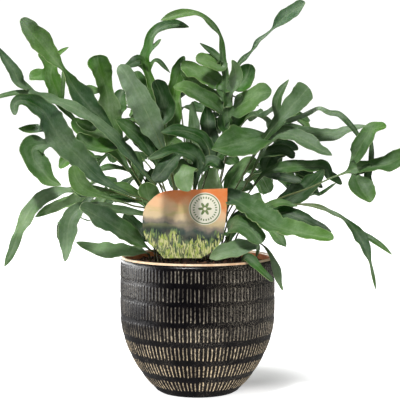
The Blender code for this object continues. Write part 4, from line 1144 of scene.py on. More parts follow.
     ((-25, 165, -8, 2), (-36, 179, -8, 8), (-45, 190, -8, 18), (-50, 200, -10, 19), (-52, 210, -12, 0)),
     ()),
    ("left_middle", (-24, -12),
     ((-35, 165, -12, 2), (-47, 181, -18, 2), (-58, 194, -30, 9), (-67, 203, -42, 17), (-78, 205, -50, 17),
      (-88, 202, -55, 0)),
     ()),
    ("green_edge", (-18, -4),
     ((-19, 167, -8, 2), (-32, 201, -10, 2), (-41, 228, -12, 4), (-50, 245, -14, 13), (-60, 257, -16, 16),
      (-71, 266, -18, 13), (-82, 273, -20, 0)),
     ()),
    ("right_under", (20, -14),
     ((29, 151, -14, 3), (30, 161, -20, 12), (37, 168, -29, 21), (49, 165, -38, 22), (58, 157, -45, 16),
      (65, 149, -50, 0)),
     ()),
    ("centre_right", (14, 8),
     ((19, 170, 8, 2), (27, 196, 10, 4), (35, 214, 10, 14), (46, 226, 8, 16), (60, 232, 5, 0)),
     ((11, ((31, 204, 10), (44, 206, 4), (56, 204, -1))),)),
    ("left_shade", (-18, 14),
     ((-35, 172, 14, 2), (-54, 200, 20, 2), (-68, 222, 24, 3), (-80, 240, 27, 12), (-91, 251, 29, 20),
      (-104, 257, 31, 23), (-116, 264, 33, 17), (-124, 274, 34, 0)),
     ((12, ((-58, 206, 21), (-60, 224, 30), (-61, 241, 34))),
      (12, ((-52, 197, 19), (-46, 210, 22), (-45, 224, 23))))),
    ("left_foot", (-32, -6),
     ((-47, 150, -10, 3), (-55, 156, -16, 12), (-61, 164, -22, 17), (-68, 172, -28, 14), (-75, 177, -31, 0)),
     ()),
    ("left_upright", (-14, 12),
     ((-40, 192, 13, 2), (-60, 223, 15, 2), (-74, 246, 14, 4), (-82, 259, 11, 14), (-87, 273, 8, 22),
      (-89, 288, 4, 22), (-91, 302, 0, 13), (-94, 313, -5, 17), (-97, 325, -9, 21), (-99, 332, -11, 19),
      (-100, 337, -12, 0)),
     ((12, ((-90, 298, 2), (-101, 305, -4), (-113, 303, -8))),
      (13, ((-87, 272, 8), (-78, 286, 10), (-75, 303, 10))))),
)
print("fronds in the table:", len(FRONDS))

# %% [markdown]
# ## Fronds: a smooth line
#
# A smooth curve through the points of a rib or a lobe carries everything else. Blender has curve objects
# for this, but reading points and directions from plain numbers is quicker and needs no object in the
# scene.

# %% A smooth line through points
class Line:
    """A smooth curve through points, with values carried along it, read by length."""

    STEPS = 12
    # Millimetres to either side over which the direction is read, on a line that is long enough
    LOOK_AROUND = 3.0

    def __init__(self, points, values):
        points = [Vector(point) for point in points]
        ends = [2 * points[0] - points[1], *points, 2 * points[-1] - points[-2]]
        self.fine = []
        for before, start, end, after in zip(ends, ends[1:], ends[2:], ends[3:]):
            self.fine += curve_between(before, start, end, after, self.STEPS)
        self.fine.append(points[-1])
        self.reach = [0.0]
        for start, end in zip(self.fine, self.fine[1:]):
            self.reach.append(self.reach[-1] + (end - start).length)
        self.length = self.reach[-1]
        self.knot_reach = self.reach[::self.STEPS]
        self.values = values

    def point(self, reach):
        """The place on the line at a length along it."""
        place = min(max(np.searchsorted(self.reach, reach) - 1, 0), len(self.fine) - 2)
        span = self.reach[place + 1] - self.reach[place]
        return self.fine[place].lerp(self.fine[place + 1], (reach - self.reach[place]) / span)

    def direction(self, reach):
        """The direction of the line at a length along it."""
        step = min(self.LOOK_AROUND, self.length / 8)
        return (self.point(min(reach + step, self.length)) - self.point(max(reach - step, 0))).normalized()

    def value(self, reach):
        """The carried value, eased through its knots with slopes that never overshoot."""
        knots, values = self.knot_reach, self.values
        place = min(max(np.searchsorted(knots, reach) - 1, 0), len(knots) - 2)
        slopes = [0.0]
        for index in range(1, len(knots) - 1):
            before = (values[index] - values[index - 1]) / (knots[index] - knots[index - 1])
            after = (values[index + 1] - values[index]) / (knots[index + 1] - knots[index])
            slopes.append(0.0 if before * after <= 0 else 2 * before * after / (before + after))
        slopes.append(0.0)
        span = knots[place + 1] - knots[place]
        t = min(max((reach - knots[place]) / span, 0.0), 1.0)
        eased = values[place] + (values[place + 1] - values[place]) * (3 * t * t - 2 * t ** 3)
        return eased + span * (slopes[place] * t * (1 - t) ** 2 - slopes[place + 1] * t * t * (1 - t))

    def nearest(self, place):
        """The length along the line where it passes nearest to a place."""
        found = min(range(len(self.fine)), key=lambda index: (self.fine[index] - place).length_squared)
        return self.reach[found]


bent = Line(((0, 0, 0), (10, 0, 0), (20, 5, 0)), (0, 0, 0))
print("a line through 3 points is", round(bent.length, 2), "mm long")

# %% [markdown]
# ## Fronds: the far side
#
# The photograph hides the far side. Leaving it bare would make a flat plant, and copies of the front would
# show as copies. Its eleven fronds follow a rule instead: a compass angle from straight back, a reach and a
# height, with lobes set in turn on both sides, as on the fronds that do show.

# %% The fronds of the far side
REAR_FRONDS = ((-78, 112, 198), (-62, 126, 250), (-48, 95, 288), (-33, 165, 222), (-16, 124, 316),
               (-3, 160, 262), (12, 100, 305), (27, 168, 232), (46, 125, 285), (60, 150, 232),
               (78, 104, 222))
ROOTS_MIDDLE = (-2.0, 9.0)
ROOTS_RADIUS = 24.0
SEED = 11
# Points of a rib: shares of the reach and of the height, and the blade's width there
REAR_RIB = ((0.1, 0.5, 2), (0.28, 0.78, 2.2), (0.5, 0.95, 6), (0.72, 1.0, 9), (0.9, 0.97, 13), (1.0, 0.9, 9))
REAR_TIP_HEIGHT = 0.72
REAR_DROP = 0.2
# Lobes: the share of the reach where each starts, its side and its length
REAR_LOBES = ((0.4, -1, 62), (0.56, 1, 60), (0.7, -1, 52), (0.86, 1, 44))
REAR_LENGTHS = (0.85, 1.1)
REAR_WIDTHS = (13, 17)
# A lobe's middle and end: shares of its length to the side and outwards, its rise and its fall
REAR_MIDDLE = (0.5, 0.34)
REAR_END = (0.86, 0.62)
REAR_RISE = Vector((0, 0, 5))
REAR_FALLS = (4, 18)
# The height share of a lobe's foot: at the root, and what it gains along the reach
REAR_FOOT_RISE = (0.55, 0.8)
# How far a blade on the far side faces outwards and up
REAR_FACING = (-0.3, 0.95)


def rear_frond(index, angle, reach, height):
    """A frond on the far side: it arches outwards and carries lobes in turn."""
    draw = random.Random(SEED + index)
    angle = math.radians(angle)
    outward = Vector((math.sin(angle), math.cos(angle), 0))
    across = Vector((math.cos(angle), -math.sin(angle), 0))
    root = outward * ROOTS_RADIUS + Vector((*ROOTS_MIDDLE, 0))

    def place_at(out, up):
        place = root + outward * (reach - ROOTS_RADIUS) * out
        place.z = SOIL_MIDDLE + (height - SOIL_MIDDLE) * up - REAR_DROP * reach * out ** 3
        return place

    tip = root + outward * reach
    tip.z = SOIL_MIDDLE + (height - SOIL_MIDDLE) * REAR_TIP_HEIGHT
    rib = [(*shown(place_at(out, up)), width) for out, up, width in REAR_RIB] + [(*shown(tip), 0)]
    facing = tuple(outward * REAR_FACING[0] + Vector((0, 0, REAR_FACING[1])))
    lobes = []
    for out, side, length in REAR_LOBES:
        foot = place_at(out, min(1.0, REAR_FOOT_RISE[0] + REAR_FOOT_RISE[1] * out))
        length *= draw.uniform(*REAR_LENGTHS)
        aside, ahead = across * side * (-1) ** index * length, outward * length
        middle = foot + aside * REAR_MIDDLE[0] + ahead * REAR_MIDDLE[1] + REAR_RISE
        end = foot + aside * REAR_END[0] + ahead * REAR_END[1]
        end.z -= draw.uniform(*REAR_FALLS)
        lobes.append((draw.uniform(*REAR_WIDTHS), (shown(foot), shown(middle), shown(end)), facing))
    return (f"rear_{index + 1:02d}", tuple(root.xy), tuple(rib), tuple(lobes), facing)


all_fronds = [*FRONDS, *(rear_frond(index, *rule) for index, rule in enumerate(REAR_FRONDS))]
print("fronds in all:", len(all_fronds))

# %% [markdown]
# ## Fronds: as the frame has them
#
# In the frame some fronds were bent a little along the line of sight, so that no two solids cross, and a
# lobe may be lifted or slid along its rib. A fine frond has to keep to its solid. The choices could be
# listed here a second time, but then they could go out of step. So each is read back from the frame: of the
# few shifts, lifts and slides that were possible, the one whose end lies on the solid is taken.

# %% Read from the frame how each frond was settled
STALK_WIDTH = 2.1
ROOT_DEPTH = 12.0
STRAIGHT_RISE = 3.0
LOBE_BASE = 8.0
FACING_VIEWER = (0.0, -0.8, 0.6)
DEPTH_SHIFTS = (0, -4, 4, -8, 8, -12, 12, -17, 17, -22, 22, -28, 28, -35, 35, -44, 44)
LOBE_LIFTS = (0, -6, 6, -12, 12, -20, 20, -28, 28)
FOOT_SLIDES = (0, 4, -4, 8, -8)
# The points of a rib over which a shift along the line of sight sets in
SHIFT_POINTS = 3


def rib_line(spine, root, shift):
    """The line of a frond's stalk and rib, from below the soil to its tip."""
    top = Vector((*root, soil_height(*root)))
    places = [top - Vector((0, 0, ROOT_DEPTH)), top + Vector((0, 0, STRAIGHT_RISE))]
    places += [seen(u, v, w + shift * min(1.0, (step + 1) / SHIFT_POINTS))
               for step, (u, v, w, _) in enumerate(spine)]
    return Line(places, [STALK_WIDTH, STALK_WIDTH, *[max(width, STALK_WIDTH) for *_, width in spine[:-1]], 0])


def settled(frond, node):
    """A frond as the frame has it: rib, facing, (base, width, route, facing) of each lobe, and the miss."""
    solid = [vertex.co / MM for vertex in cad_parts[node].data.vertices]
    near = KDTree(len(solid))
    for index, place in enumerate(solid):
        near.insert(place, index)
    near.balance()
    over_soil = [place for place in solid if math.hypot(place.x, place.y) < POT_RADIUS - WALL - 1]
    lowest = min(place.z for place in over_soil)
    foot = [place for place in over_soil if place.z < lowest + 1]
    root = sum(foot, Vector()) / len(foot)

    _, _, spine, lobes = frond[:4]
    u, v, w, _ = spine[-1]
    shift = min(DEPTH_SHIFTS, key=lambda step: near.find(seen(u, v, w + step))[2])
    rib = rib_line(spine, root.xy, shift)
    facing = Vector(frond[4] if len(frond) > 4 else FACING_VIEWER).normalized()
    found = []
    for lobe in lobes:
        width, route = lobe[:2]
        u, v, w = route[-1]
        lift = min(LOBE_LIFTS, key=lambda step: near.find(seen(u, v, w + shift + step))[2])
        last = len(route) - 1
        route = [seen(u, v, w + shift + lift * step / last) for step, (u, v, w) in enumerate(route)]
        bases = [base for base, *_ in found]

        def base_for(slide):
            base = rib.nearest(route[0]) + slide
            return next((other for other in bases if abs(other - base) < LOBE_BASE), base)

        def miss(slide):
            steps = (-LOBE_BASE / 2, 0, LOBE_BASE / 2)
            return sum(near.find(rib.point(base_for(slide) + step))[2] for step in steps)

        base = base_for(min(FOOT_SLIDES, key=miss))
        beyond = rib.value(base) / 2 + LOBE_BASE / 2
        route = [place for place in route[:-1] if (place - rib.point(base)).length > beyond] + route[-1:]
        found.append((base, width, route, Vector(lobe[2]).normalized() if len(lobe) > 2 else facing))
    gap = max(near.find(rib.point(rib.length * share))[2] for share in (0, 1))
    return rib, facing, found, gap


laid = {}
for number, frond in enumerate(all_fronds, 1):
    node = f"frond_{number:02d}_{frond[0]}"
    laid[node] = settled(frond, node)
largest_miss = max(gap for *_, gap in laid.values())
print("largest miss between a rib's ends and its solid:", round(largest_miss, 2), "mm")

# %% [markdown]
# ## Fronds: their colours
#
# Blue star fern has a pale waxy bloom on its blades. Where the bloom is whole a blade looks silver, and
# where it is rubbed or the blade is young it is fresh green. Blades inside the plant are deep green: partly
# the own colour of old blades and partly painted shade. Two very pale greens are painted light, for blades
# that lie in shade. Noise alone would spread these evenly. So a small palette holds the greens, and each
# frond names the ones that it runs through from its foot to its tip, and so does each of its lobes.

# %% Greens
# The first two greens are painted light: they make blades that lie in shade look lit. The shade green is
# painted shade, and the deep green is partly painted shade.
SCREEN_GREENS = {
    "palest_painted_light": (172, 194, 150), "pale_painted_light": (150, 172, 138), "silver": (118, 138, 112), "pale": (118, 142, 100),
    "grey": (86, 109, 78), "blue": (60, 88, 60), "mid": (62, 95, 45), "light": (92, 124, 66),
    "fresh": (78, 118, 42), "vivid": (58, 104, 30), "deep": (30, 68, 18), "shade": (20, 52, 18),
    "olive": (96, 112, 72), "stalk": (92, 102, 56), "stalk_foot": (62, 60, 36),
}
GREENS = {name: Vector(screen(*colour)[:3]) for name, colour in SCREEN_GREENS.items()}


def green_at(names, share):
    """The colour at a share of the way through a list of greens."""
    last = len(names) - 1
    place = min(max(share, 0.0), 1.0) * last
    before = min(int(place), last)
    return GREENS[names[before]].lerp(GREENS[names[min(before + 1, last)]], smooth(place - before))


print("greens:", len(GREENS))

# %% Which frond has which greens
# First the rib of each frond, then its lobes. Each frond's greens follow how light or dark it looks, so
# they hold painted light on some shaded blades and painted shade on others.
LOOKS = {
    "left_crown": ("mid blue deep blue mid light light silver", "fresh mid", "deep light"),
    "left_upright": ("mid mid mid light pale light fresh vivid", "mid light", "deep mid deep"),
    "left_trident": ("mid mid fresh fresh", "fresh light", "mid fresh", "light"),
    "left_long": ("blue blue grey silver grey mid", "grey blue"),
    "left_broad": ("mid blue blue grey grey blue deep grey", "mid fresh", "mid mid light"),
    "left_round": ("mid light", "mid"),
    "left_droop": ("mid light pale silver silver pale grey mid", "light pale mid", "light pale"),
    "left_low": ("mid grey silver grey silver", "shade"),
    "left_blade": ("mid mid blue grey",),
    # A pale green as painted light: this blade lies in shade
    "left_rim": ("pale_painted_light",),
    "crown_silver": ("mid grey silver silver silver", "deep shade"),
    "crown_tall": ("mid light mid fresh vivid deep deep", "shade deep", "deep", "mid", "deep deep shade",
                   "mid fresh vivid", "vivid mid"),
    "crown_centre": ("mid grey mid mid mid light light", "deep", "grey light light", "mid light light",
                     "mid light", "mid mid light", "grey grey pale", "vivid vivid deep", "mid light mid",
                     "deep vivid"),
    "right_whip": ("mid blue blue blue",),
    "right_fork": ("mid mid grey grey", "blue mid mid mid", "mid grey", "grey silver silver grey deep deep"),
    "right_silver": ("mid grey grey grey", "grey grey silver", "deep"),
    "right_dark": ("deep mid deep", "shade", "deep blue"),
    "right_far": ("olive mid mid mid fresh", "mid mid fresh", "grey mid fresh", "deep", "deep"),
    "right_dark_fork": ("deep shade deep deep", "deep vivid"),
    "right_front": ("blue blue mid mid light fresh", "light deep", "light mid", "mid light"),
    "right_wavy": ("deep deep shade",),
    "right_trail": ("olive olive grey deep blue grey mid", "mid fresh"),
    "front_blade": ("grey silver pale",),
    "front_drip": ("deep deep vivid deep",),
    "right_hang": ("pale silver pale",),
    "centre_arch": ("deep", "mid deep", "shade deep", "grey grey"),
    "centre_wave": ("mid shade deep deep grey", "deep shade", "light pale", "deep"),
    # The palest green as painted light: this blade lies in shade
    "tag_leaf": ("palest_painted_light",),
    "left_tag_leaf": ("light pale light",),
    "left_middle": ("mid light mid",),
    "green_edge": ("deep deep mid",),
    "right_under": ("deep mid",),
    "centre_right": ("deep mid light", "deep mid"),
    "left_shade": ("mid mid light fresh", "light mid", "deep"),
    "left_foot": ("deep shade deep",),
}
REAR_LOOKS = (("mid grey mid", "mid light", "deep mid", "mid", "light"),
              ("mid blue deep", "deep", "mid", "deep", "mid"),
              ("mid vivid mid", "mid", "mid", "deep mid", "fresh"))


def look_of(name):
    """Names of the greens along a frond's rib and along each of its lobes."""
    look = LOOKS[name] if name in LOOKS else REAR_LOOKS[int(name[-2:]) % len(REAR_LOOKS)]
    return [greens.split() for greens in look]


print("fronds with a look of their own:", len(LOOKS))

# %% [markdown]
# ## Fronds: their blades
#
# A blade is never flat. It folds along its midrib, cups, twists slowly, dimples, and its margin waves and
# is nicked. A flat outline with a displacement could show the waves but not the fold and the twist. Here
# each rib and lobe is a strip of rows with five points across, and each row is set off its line by these
# motions. Ends are round or pointed, and a lobe is a little wider on one side near its end. Subdivision
# then rounds the outline and the notches between lobes, and Solidify gives the skin its thickness, with
# materials of their own for the under side and the edge.

# %% Motions of a blade
# Five points across a blade, and five rows of a rib at each lobe's foot
ACROSS = (-1.0, -0.5, 0.0, 0.5, 1.0)
# The motions of a blade: how large each is, and the lengths of its waves in millimetres
TWIST_DEGREES = (8, 22)
TWIST_LENGTHS = (45, 95)
FOLDS = (0.03, 0.2)
CUPS = (-0.12, 0.16)
WAVE = 1.5
WAVE_LENGTHS = (16, 38)
SWELL = 0.12
SWELL_LENGTHS = (15, 34)
NICK = 0.075
NICK_LENGTHS = (6.5, 11)
DIMPLE = 0.4
DIMPLE_LENGTHS = (9, 20)
DIMPLE_TURN = 3.1
# How far fold and cup sink the midrib, so that the blade stays on its line
FOLD_SINK = 0.5
CUP_SINK = 0.3
# Waves, swells and nicks are weaker on a blade narrower than this
FULL_WIDTH = 12.0
# The share of a lobe's length from which one of its sides is wider, and the share over which that sets in
SKEW_FROM = 0.55
SKEW_OVER = 0.4


def wander(draw, shortest, longest):
    """A gentle wave along a blade, between -1 and 1, of two lengths in millimetres."""
    waves = [(draw.uniform(shortest, longest), draw.uniform(0, 2 * math.pi), share) for share in (0.65, 0.35)]
    return lambda reach: sum(share * math.sin(2 * math.pi * reach / length + start)
                             for length, start, share in waves)


class Blade:
    """A strip of blade along a line, with the way it folds, cups, twists and waves."""

    def __init__(self, line, width_at, facing, draw, skew=0.0):
        self.line = line
        self.width_at = width_at
        self.facing = facing
        self.skew = skew
        self.twist = wander(draw, *TWIST_LENGTHS)
        self.twist_size = math.radians(draw.uniform(*TWIST_DEGREES))
        self.fold = draw.uniform(*FOLDS)
        self.cup = draw.uniform(*CUPS)
        # One of each for the left margin and one for the right
        spans = (WAVE_LENGTHS, SWELL_LENGTHS, NICK_LENGTHS)
        self.waves, self.swells, self.nicks = ([wander(draw, *span) for _ in range(2)] for span in spans)
        self.dimples = wander(draw, *DIMPLE_LENGTHS)

    def middle(self, reach):
        """The place of the midrib: as far below the line as the folded margins rise above it."""
        _, up = self.frame(reach)
        sink = self.fold * FOLD_SINK + self.cup * CUP_SINK
        return self.line.point(reach) - up * self.width_at(reach) * sink

    def frame(self, reach):
        """Across and up at a place on the line."""
        along = self.line.direction(reach)
        side = along.cross(self.facing).normalized()
        up = side.cross(along)
        angle = self.twist_size * self.twist(reach)
        return side * math.cos(angle) + up * math.sin(angle), up * math.cos(angle) - side * math.sin(angle)

    def row(self, reach):
        """Five points across the blade."""
        middle = self.middle(reach)
        side, up = self.frame(reach)
        width = self.width_at(reach)
        full = min(1.0, width / FULL_WIDTH)
        skew = self.skew * smooth((reach / self.line.length - SKEW_FROM) / SKEW_OVER)
        places = []
        for across in ACROSS:
            edge = 0 if across < 0 else 1
            wider = SWELL * self.swells[edge](reach) + NICK * self.nicks[edge](reach)
            half = width / 2 * (1 + full * wider) * (1 + skew if across > 0 else 1 - skew)
            lift = width * (self.fold * abs(across) + self.cup * across * across)
            lift += full * WAVE * across * across * self.waves[edge](reach)
            lift += full * DIMPLE * math.sin(DIMPLE_TURN * across) * self.dimples(reach)
            places.append(middle + side * half * across + up * lift)
        return places


print("a blade twists by up to", TWIST_DEGREES[1], "degrees")

# %% Widths of a blade
# A share of the full width, and the narrowest blade beside a rib
FULLNESS = 1.08
NARROWEST = 2.2
# A lobe is widest at this share of its length
LOBE_SHOULDER = 0.45
# The least that is left of a width at an end, before its power
SHARPEST = 0.01
# A rib's blade grows from a share of its width over this length
START_SHARE = 0.3
START_LENGTH = 9.0


def end_width(width, share, end):
    """The width at a share of the way to a round or pointed end, which two powers shape."""
    blunt, power = end
    return FULLNESS * width * max(SHARPEST, 1 - share ** blunt) ** power


def lobe_widths(line, width, foot, end):
    """The blade's width along a lobe: a narrower foot, a full middle and its end."""

    def width_at(reach):
        part = reach / line.length
        if part < LOBE_SHOULDER:
            rise = part / LOBE_SHOULDER
            return FULLNESS * width * (foot + (1 - foot) * rise * (2 - rise))
        return end_width(width, (part - LOBE_SHOULDER) / (1 - LOBE_SHOULDER), end)

    return width_at


def rib_widths(rib, start, end):
    """The blade's width along a rib: grown from little where it starts, then wide, and its end."""
    last_knot = rib.knot_reach[-2]

    def width_at(reach):
        if reach > last_knot:
            return end_width(rib.values[-2], (reach - last_knot) / (rib.length - last_knot), end)
        grown = START_SHARE + (1 - START_SHARE) * smooth((reach - start) / START_LENGTH)
        return FULLNESS * max(rib.value(reach), NARROWEST) * grown

    return width_at


print("a lobe is widest at", LOBE_SHOULDER, "of its length")

# %% Rows along a rib
# Millimetres between even rows, and from the tip to the last rows
ROW_STEP = 3.2
TIP_ROWS = (4.6, 2.6, 1.1, 0.3)
# Rows nearer to one another than these are left out: as a share of a step, beside a lobe, and in all
CROWDED = 0.45
BESIDE_LOBE = 1.0
SAME_ROW = 0.05


def stations(start, length, bases):
    """Where a rib has its rows: five at each pair of lobes, some near the tip, and even steps between."""
    half = LOBE_BASE / 2
    fixed = [base + half * step for base in bases for step in ACROSS]

    def clear_of_lobes(place):
        return all(abs(place - base) > half + BESIDE_LOBE for base in bases)

    fixed += [length - step for step in TIP_ROWS if clear_of_lobes(length - step)]
    steps = max(1, round((length - TIP_ROWS[0] - start) / ROW_STEP))
    even = [start + (length - TIP_ROWS[0] - start) * step / steps for step in range(steps)]
    kept = [place for place in even if all(abs(place - other) > ROW_STEP * CROWDED for other in fixed)]
    merged = []
    for place in sorted(fixed + [place for place in kept if clear_of_lobes(place)]):
        if not merged or place - merged[-1] > SAME_ROW:
            merged.append(place)
    return merged


print("rows on a plain 60 mm blade:", len(stations(0, 60, [])))

# %% [markdown]
# ## Fronds: skin and ribs
#
# A stalk is round and runs on under the blade as a rib that only shows its back. It could be modelled into
# the skin, but that needs many more rows. Here stalk and ribs are tapering tubes beside the skin, joined to
# it in one piece. Skin and tubes both keep, for each point, its place on the blade and its own green.

# %% Points and faces of a frond
TUBE_SIDES = 8


class Surface:
    """Points and faces, with the place and the green that a material reads at each point."""

    def __init__(self):
        self.points, self.faces, self.place, self.tint = [], [], [], []

    def add_row(self, places, along, width, tint, open_margin=1.0):
        """Five points across a blade. Returns their numbers."""
        first = len(self.points)
        for across, place in zip(ACROSS, places):
            self.points.append(place)
            self.place.append((along, across * width / 2, abs(across) * open_margin))
            self.tint.append(tint)
        return list(range(first, first + len(places)))

    def join(self, lower, upper):
        """Faces between two rows."""
        for step in range(len(lower) - 1):
            self.faces.append((lower[step], lower[step + 1], upper[step + 1], upper[step]))

    def add_tube(self, places, ups, radii, tints):
        """A round tapering tube: the stalk with its rib, or the midrib of a lobe."""
        first = len(self.points)
        for index, (place, up, radius) in enumerate(zip(places, ups, radii)):
            along = places[min(index + 1, len(places) - 1)] - places[max(index - 1, 0)]
            side = along.cross(up).normalized()
            over = side.cross(along).normalized()
            for corner in range(TUBE_SIDES):
                angle = 2 * math.pi * corner / TUBE_SIDES
                self.points.append(place + (side * math.cos(angle) + over * math.sin(angle)) * radius)
                self.place.append((index * ROW_STEP, 0.0, 0.0))
                self.tint.append(tints[index])
        for face in tube_faces(len(places), TUBE_SIDES):
            self.faces.append(tuple(first + corner for corner in reversed(face)))

    def as_object(self, name, materials):
        """The points and faces as an object that keeps its places and greens."""
        made = add_object(name, self.points, self.faces, materials)
        keep_values(made.data, {"place": self.place, "tint": self.tint})
        return made


print("sides of a tube:", TUBE_SIDES)

# %% Ribs
# How deep a rib lies in its blade, as a share of its radius, and the length over which it sinks in
RIB_SINK = 0.45
SINK_LENGTH = 14.0


def midrib(ribs, blade, reaches, radii, names, sunk_from=None):
    """A tube along a blade, sunk so that only its back shows above the blade."""
    places, ups, tints = [], [], []
    for reach, radius in zip(reaches, radii):
        _, up = blade.frame(reach)
        sunk = 1.0 if sunk_from is None else smooth((reach - sunk_from) / SINK_LENGTH)
        places.append(blade.middle(reach) - up * radius * RIB_SINK * sunk)
        ups.append(up)
        tints.append(green_at(names, reach / blade.line.length))
    ribs.add_tube(places, ups, radii, tints)


print("a rib sinks into its blade over", SINK_LENGTH, "mm")

# %% [markdown]
# ## Fronds: a lobe on its rib
#
# On the plant a lobe is the same tissue as its rib: the margin simply turns outwards. A lobe could be a
# blade of its own pushed into the rib, but then a seam would show. So its first row is five points of the
# rib's margin. The next rows start out as copies of that row, and turn into the lobe's own form as they
# move outwards.

# %% Lobes
# Millimetres from the margin to the first row, and the length over which the colour turns to the lobe's own
FIRST_LOBE_ROW = 2.0
TURN_LENGTH = 14.0
# The form turns to the lobe's own over a length that grows with its width, up to a share of its length
BLEND_LENGTH = 3.0
BLEND_BY_WIDTH = 0.3
LONGEST_BLEND = 0.4
# The rib of a lobe: its radius at foot and tip, how far short of the tip it ends, and the step of its rings
LOBE_RIB_RADIUS = 0.42
LOBE_TIP_RADIUS = 0.15
SHORT_OF_LOBE_TIP = 4
TUBE_STEP = 5.0


def margin_points(rows, middle, right):
    """Five points of a rib's margin, in the order that a lobe's rows have."""
    column = len(ACROSS) - 1 if right else 0
    order = (2, 1, 0, -1, -2) if right else (-2, -1, 0, 1, 2)
    return [rows[middle + step][column] for step in order]


def grow_lobe(skin, ribs, first, lobe, width, names, foot_tint):
    """Adds a lobe whose first row is five points of its rib's margin."""
    line = lobe.line
    for corner in first:
        along, across, _ = skin.place[corner]
        skin.place[corner] = (along, across, 0.0)
    blend_length = min(LONGEST_BLEND * line.length, BLEND_LENGTH + BLEND_BY_WIDTH * width)
    steps = max(2, round((line.length - TIP_ROWS[0]) / ROW_STEP))
    reaches = [FIRST_LOBE_ROW] + [(line.length - TIP_ROWS[0]) * step / steps for step in range(1, steps)]
    reaches += [line.length - step for step in TIP_ROWS]
    foot_row = [skin.points[corner].copy() for corner in first]
    lower = first
    for reach in reaches:
        own = smooth(reach / blend_length)
        carried = line.point(reach) - line.point(0)
        places = [(place + carried).lerp(target, own) for place, target in zip(foot_row, lobe.row(reach))]
        tint = foot_tint.lerp(green_at(names, reach / line.length), smooth(reach / TURN_LENGTH))
        upper = skin.add_row(places, reach, lobe.width_at(reach), tint, own)
        skin.join(lower, upper)
        lower = upper
    reaches = list(np.arange(0, line.length - SHORT_OF_LOBE_TIP, TUBE_STEP))
    radii = [LOBE_RIB_RADIUS + (LOBE_TIP_RADIUS - LOBE_RIB_RADIUS) * reach / line.length for reach in reaches]
    if len(reaches) > 2:
        midrib(ribs, lobe, reaches, radii, ["pale", "pale", names[-1]])


print("a lobe 20 mm wide turns to its own form over", BLEND_LENGTH + BLEND_BY_WIDTH * 20, "mm")

# %% A whole frond
STALK_RADIUS = 0.85
RIB_TIP_RADIUS = 0.25
# The rib of a frond ends this far short of its tip
SHORT_OF_RIB_TIP = 3
# A rib is wide where it is this much wider than the narrowest blade
WIDER = 0.5
# A blade starts this far before that place, and before its first lobe
BEFORE_WIDE = 10.0
BEFORE_LOBE = 9.0
# The two powers of an end. The first is drawn for a round lobe: the higher, the blunter
BLUNTNESS = (2.2, 6.0)
ROUND_POWER = 0.6
ROUND = (2.4, ROUND_POWER)
POINTED = (1.7, 0.88)
# Ends that are pointed instead of round: 0 is the rib, 1 the first lobe
POINTED_ENDS = {
    "right_fork": (1, 2), "right_silver": (0, 1), "left_rim": (0,), "left_low": (0,), "left_long": (0, 1),
    "left_droop": (0, 1), "right_wavy": (0,), "front_blade": (0,), "crown_centre": (0, 1),
    "crown_tall": (0, 1, 2), "left_trident": (0,), "centre_arch": (0, 1), "centre_wave": (0,),
    "right_trail": (0, 1), "right_front": (1, 2), "right_dark_fork": (0,), "green_edge": (0,),
    "left_broad": (1, 2)}
# How wide a lobe's foot is, as a share, and how much wider one of its sides is at most
LOBE_FOOT = 0.88
SKEW = 0.3
# Lobes that are as wide at their foot as further out
WIDE_FOOT = {"right_fork": (1,), "left_broad": (2,), "crown_centre": (8,), "left_trident": (1,)}


def grow(name, rib, facing, lobes):
    """The skin and the ribs of one frond."""
    draw = random.Random(name)
    rib_names, *lobe_names = look_of(name)
    skin, ribs = Surface(), Surface()
    bases = sorted({base for base, *_ in lobes})
    wide = [reach for reach in np.arange(0, rib.length, 2.0) if rib.value(reach) > NARROWEST + WIDER]
    start = min([wide[0] - BEFORE_WIDE, *[base - LOBE_BASE / 2 - BEFORE_LOBE for base in bases]])
    start = max(start, ROOT_DEPTH + STRAIGHT_RISE)
    pointed = POINTED_ENDS.get(name, ())
    blade = Blade(rib, rib_widths(rib, start, POINTED if 0 in pointed else ROUND), facing, draw)

    def rib_green(reach):
        return green_at(rib_names, (reach - start) / (rib.length - start))

    stops = stations(start, rib.length, bases)
    rows = [skin.add_row(blade.row(reach), reach, blade.width_at(reach), rib_green(reach)) for reach in stops]
    for lower, upper in zip(rows, rows[1:]):
        skin.join(lower, upper)
    reaches = list(np.arange(0, rib.length - SHORT_OF_RIB_TIP, TUBE_STEP))
    radii = [STALK_RADIUS + (RIB_TIP_RADIUS - STALK_RADIUS) * smooth((reach - start) / (rib.length - start))
             for reach in reaches]
    midrib(ribs, blade, reaches, radii, ["stalk_foot", "stalk", "stalk", "pale", "pale"], start)

    for number, ((base, width, route, lobe_facing), names) in enumerate(zip(lobes, lobe_names), 1):
        right = (route[0] - rib.point(base)).dot(rib.direction(base).cross(facing)) > 0
        middle = min(range(len(stops)), key=lambda index: abs(stops[index] - base))
        first = margin_points(rows, middle, right)
        line = Line([skin.points[first[2]], *route], [0] * (len(route) + 1))
        end = POINTED if number in pointed else (draw.uniform(*BLUNTNESS), ROUND_POWER)
        foot = 1.0 if number in WIDE_FOOT.get(name, ()) else LOBE_FOOT
        skew = random.Random(round(line.length * 100)).uniform(-SKEW, SKEW)
        lobe = Blade(line, lobe_widths(line, width, foot, end), lobe_facing, draw, skew)
        grow_lobe(skin, ribs, first, lobe, width, names, rib_green(base))
    return skin, ribs


print("a stalk tapers from", STALK_RADIUS * 2, "mm to", RIB_TIP_RADIUS * 2, "mm")

# %% [markdown]
# ## Fronds: their finish
#
# The wax bloom scatters light like fine dust, so a blade has a broad grey sheen and no sharp glint. Light
# also comes through it, which a little subsurface scattering gives in a thin closed skin. The palest things
# are the midrib and the thin margin, and the side veins run forward from the midrib as faint lines. The
# under side is greener and duller than the top. A scanned leaf could bring all this as an image, but it
# would be the same leaf 46 times.

# %% Blade materials
PUCKER_DEPTH = 0.0009
VEIN_DEPTH = 0.0003
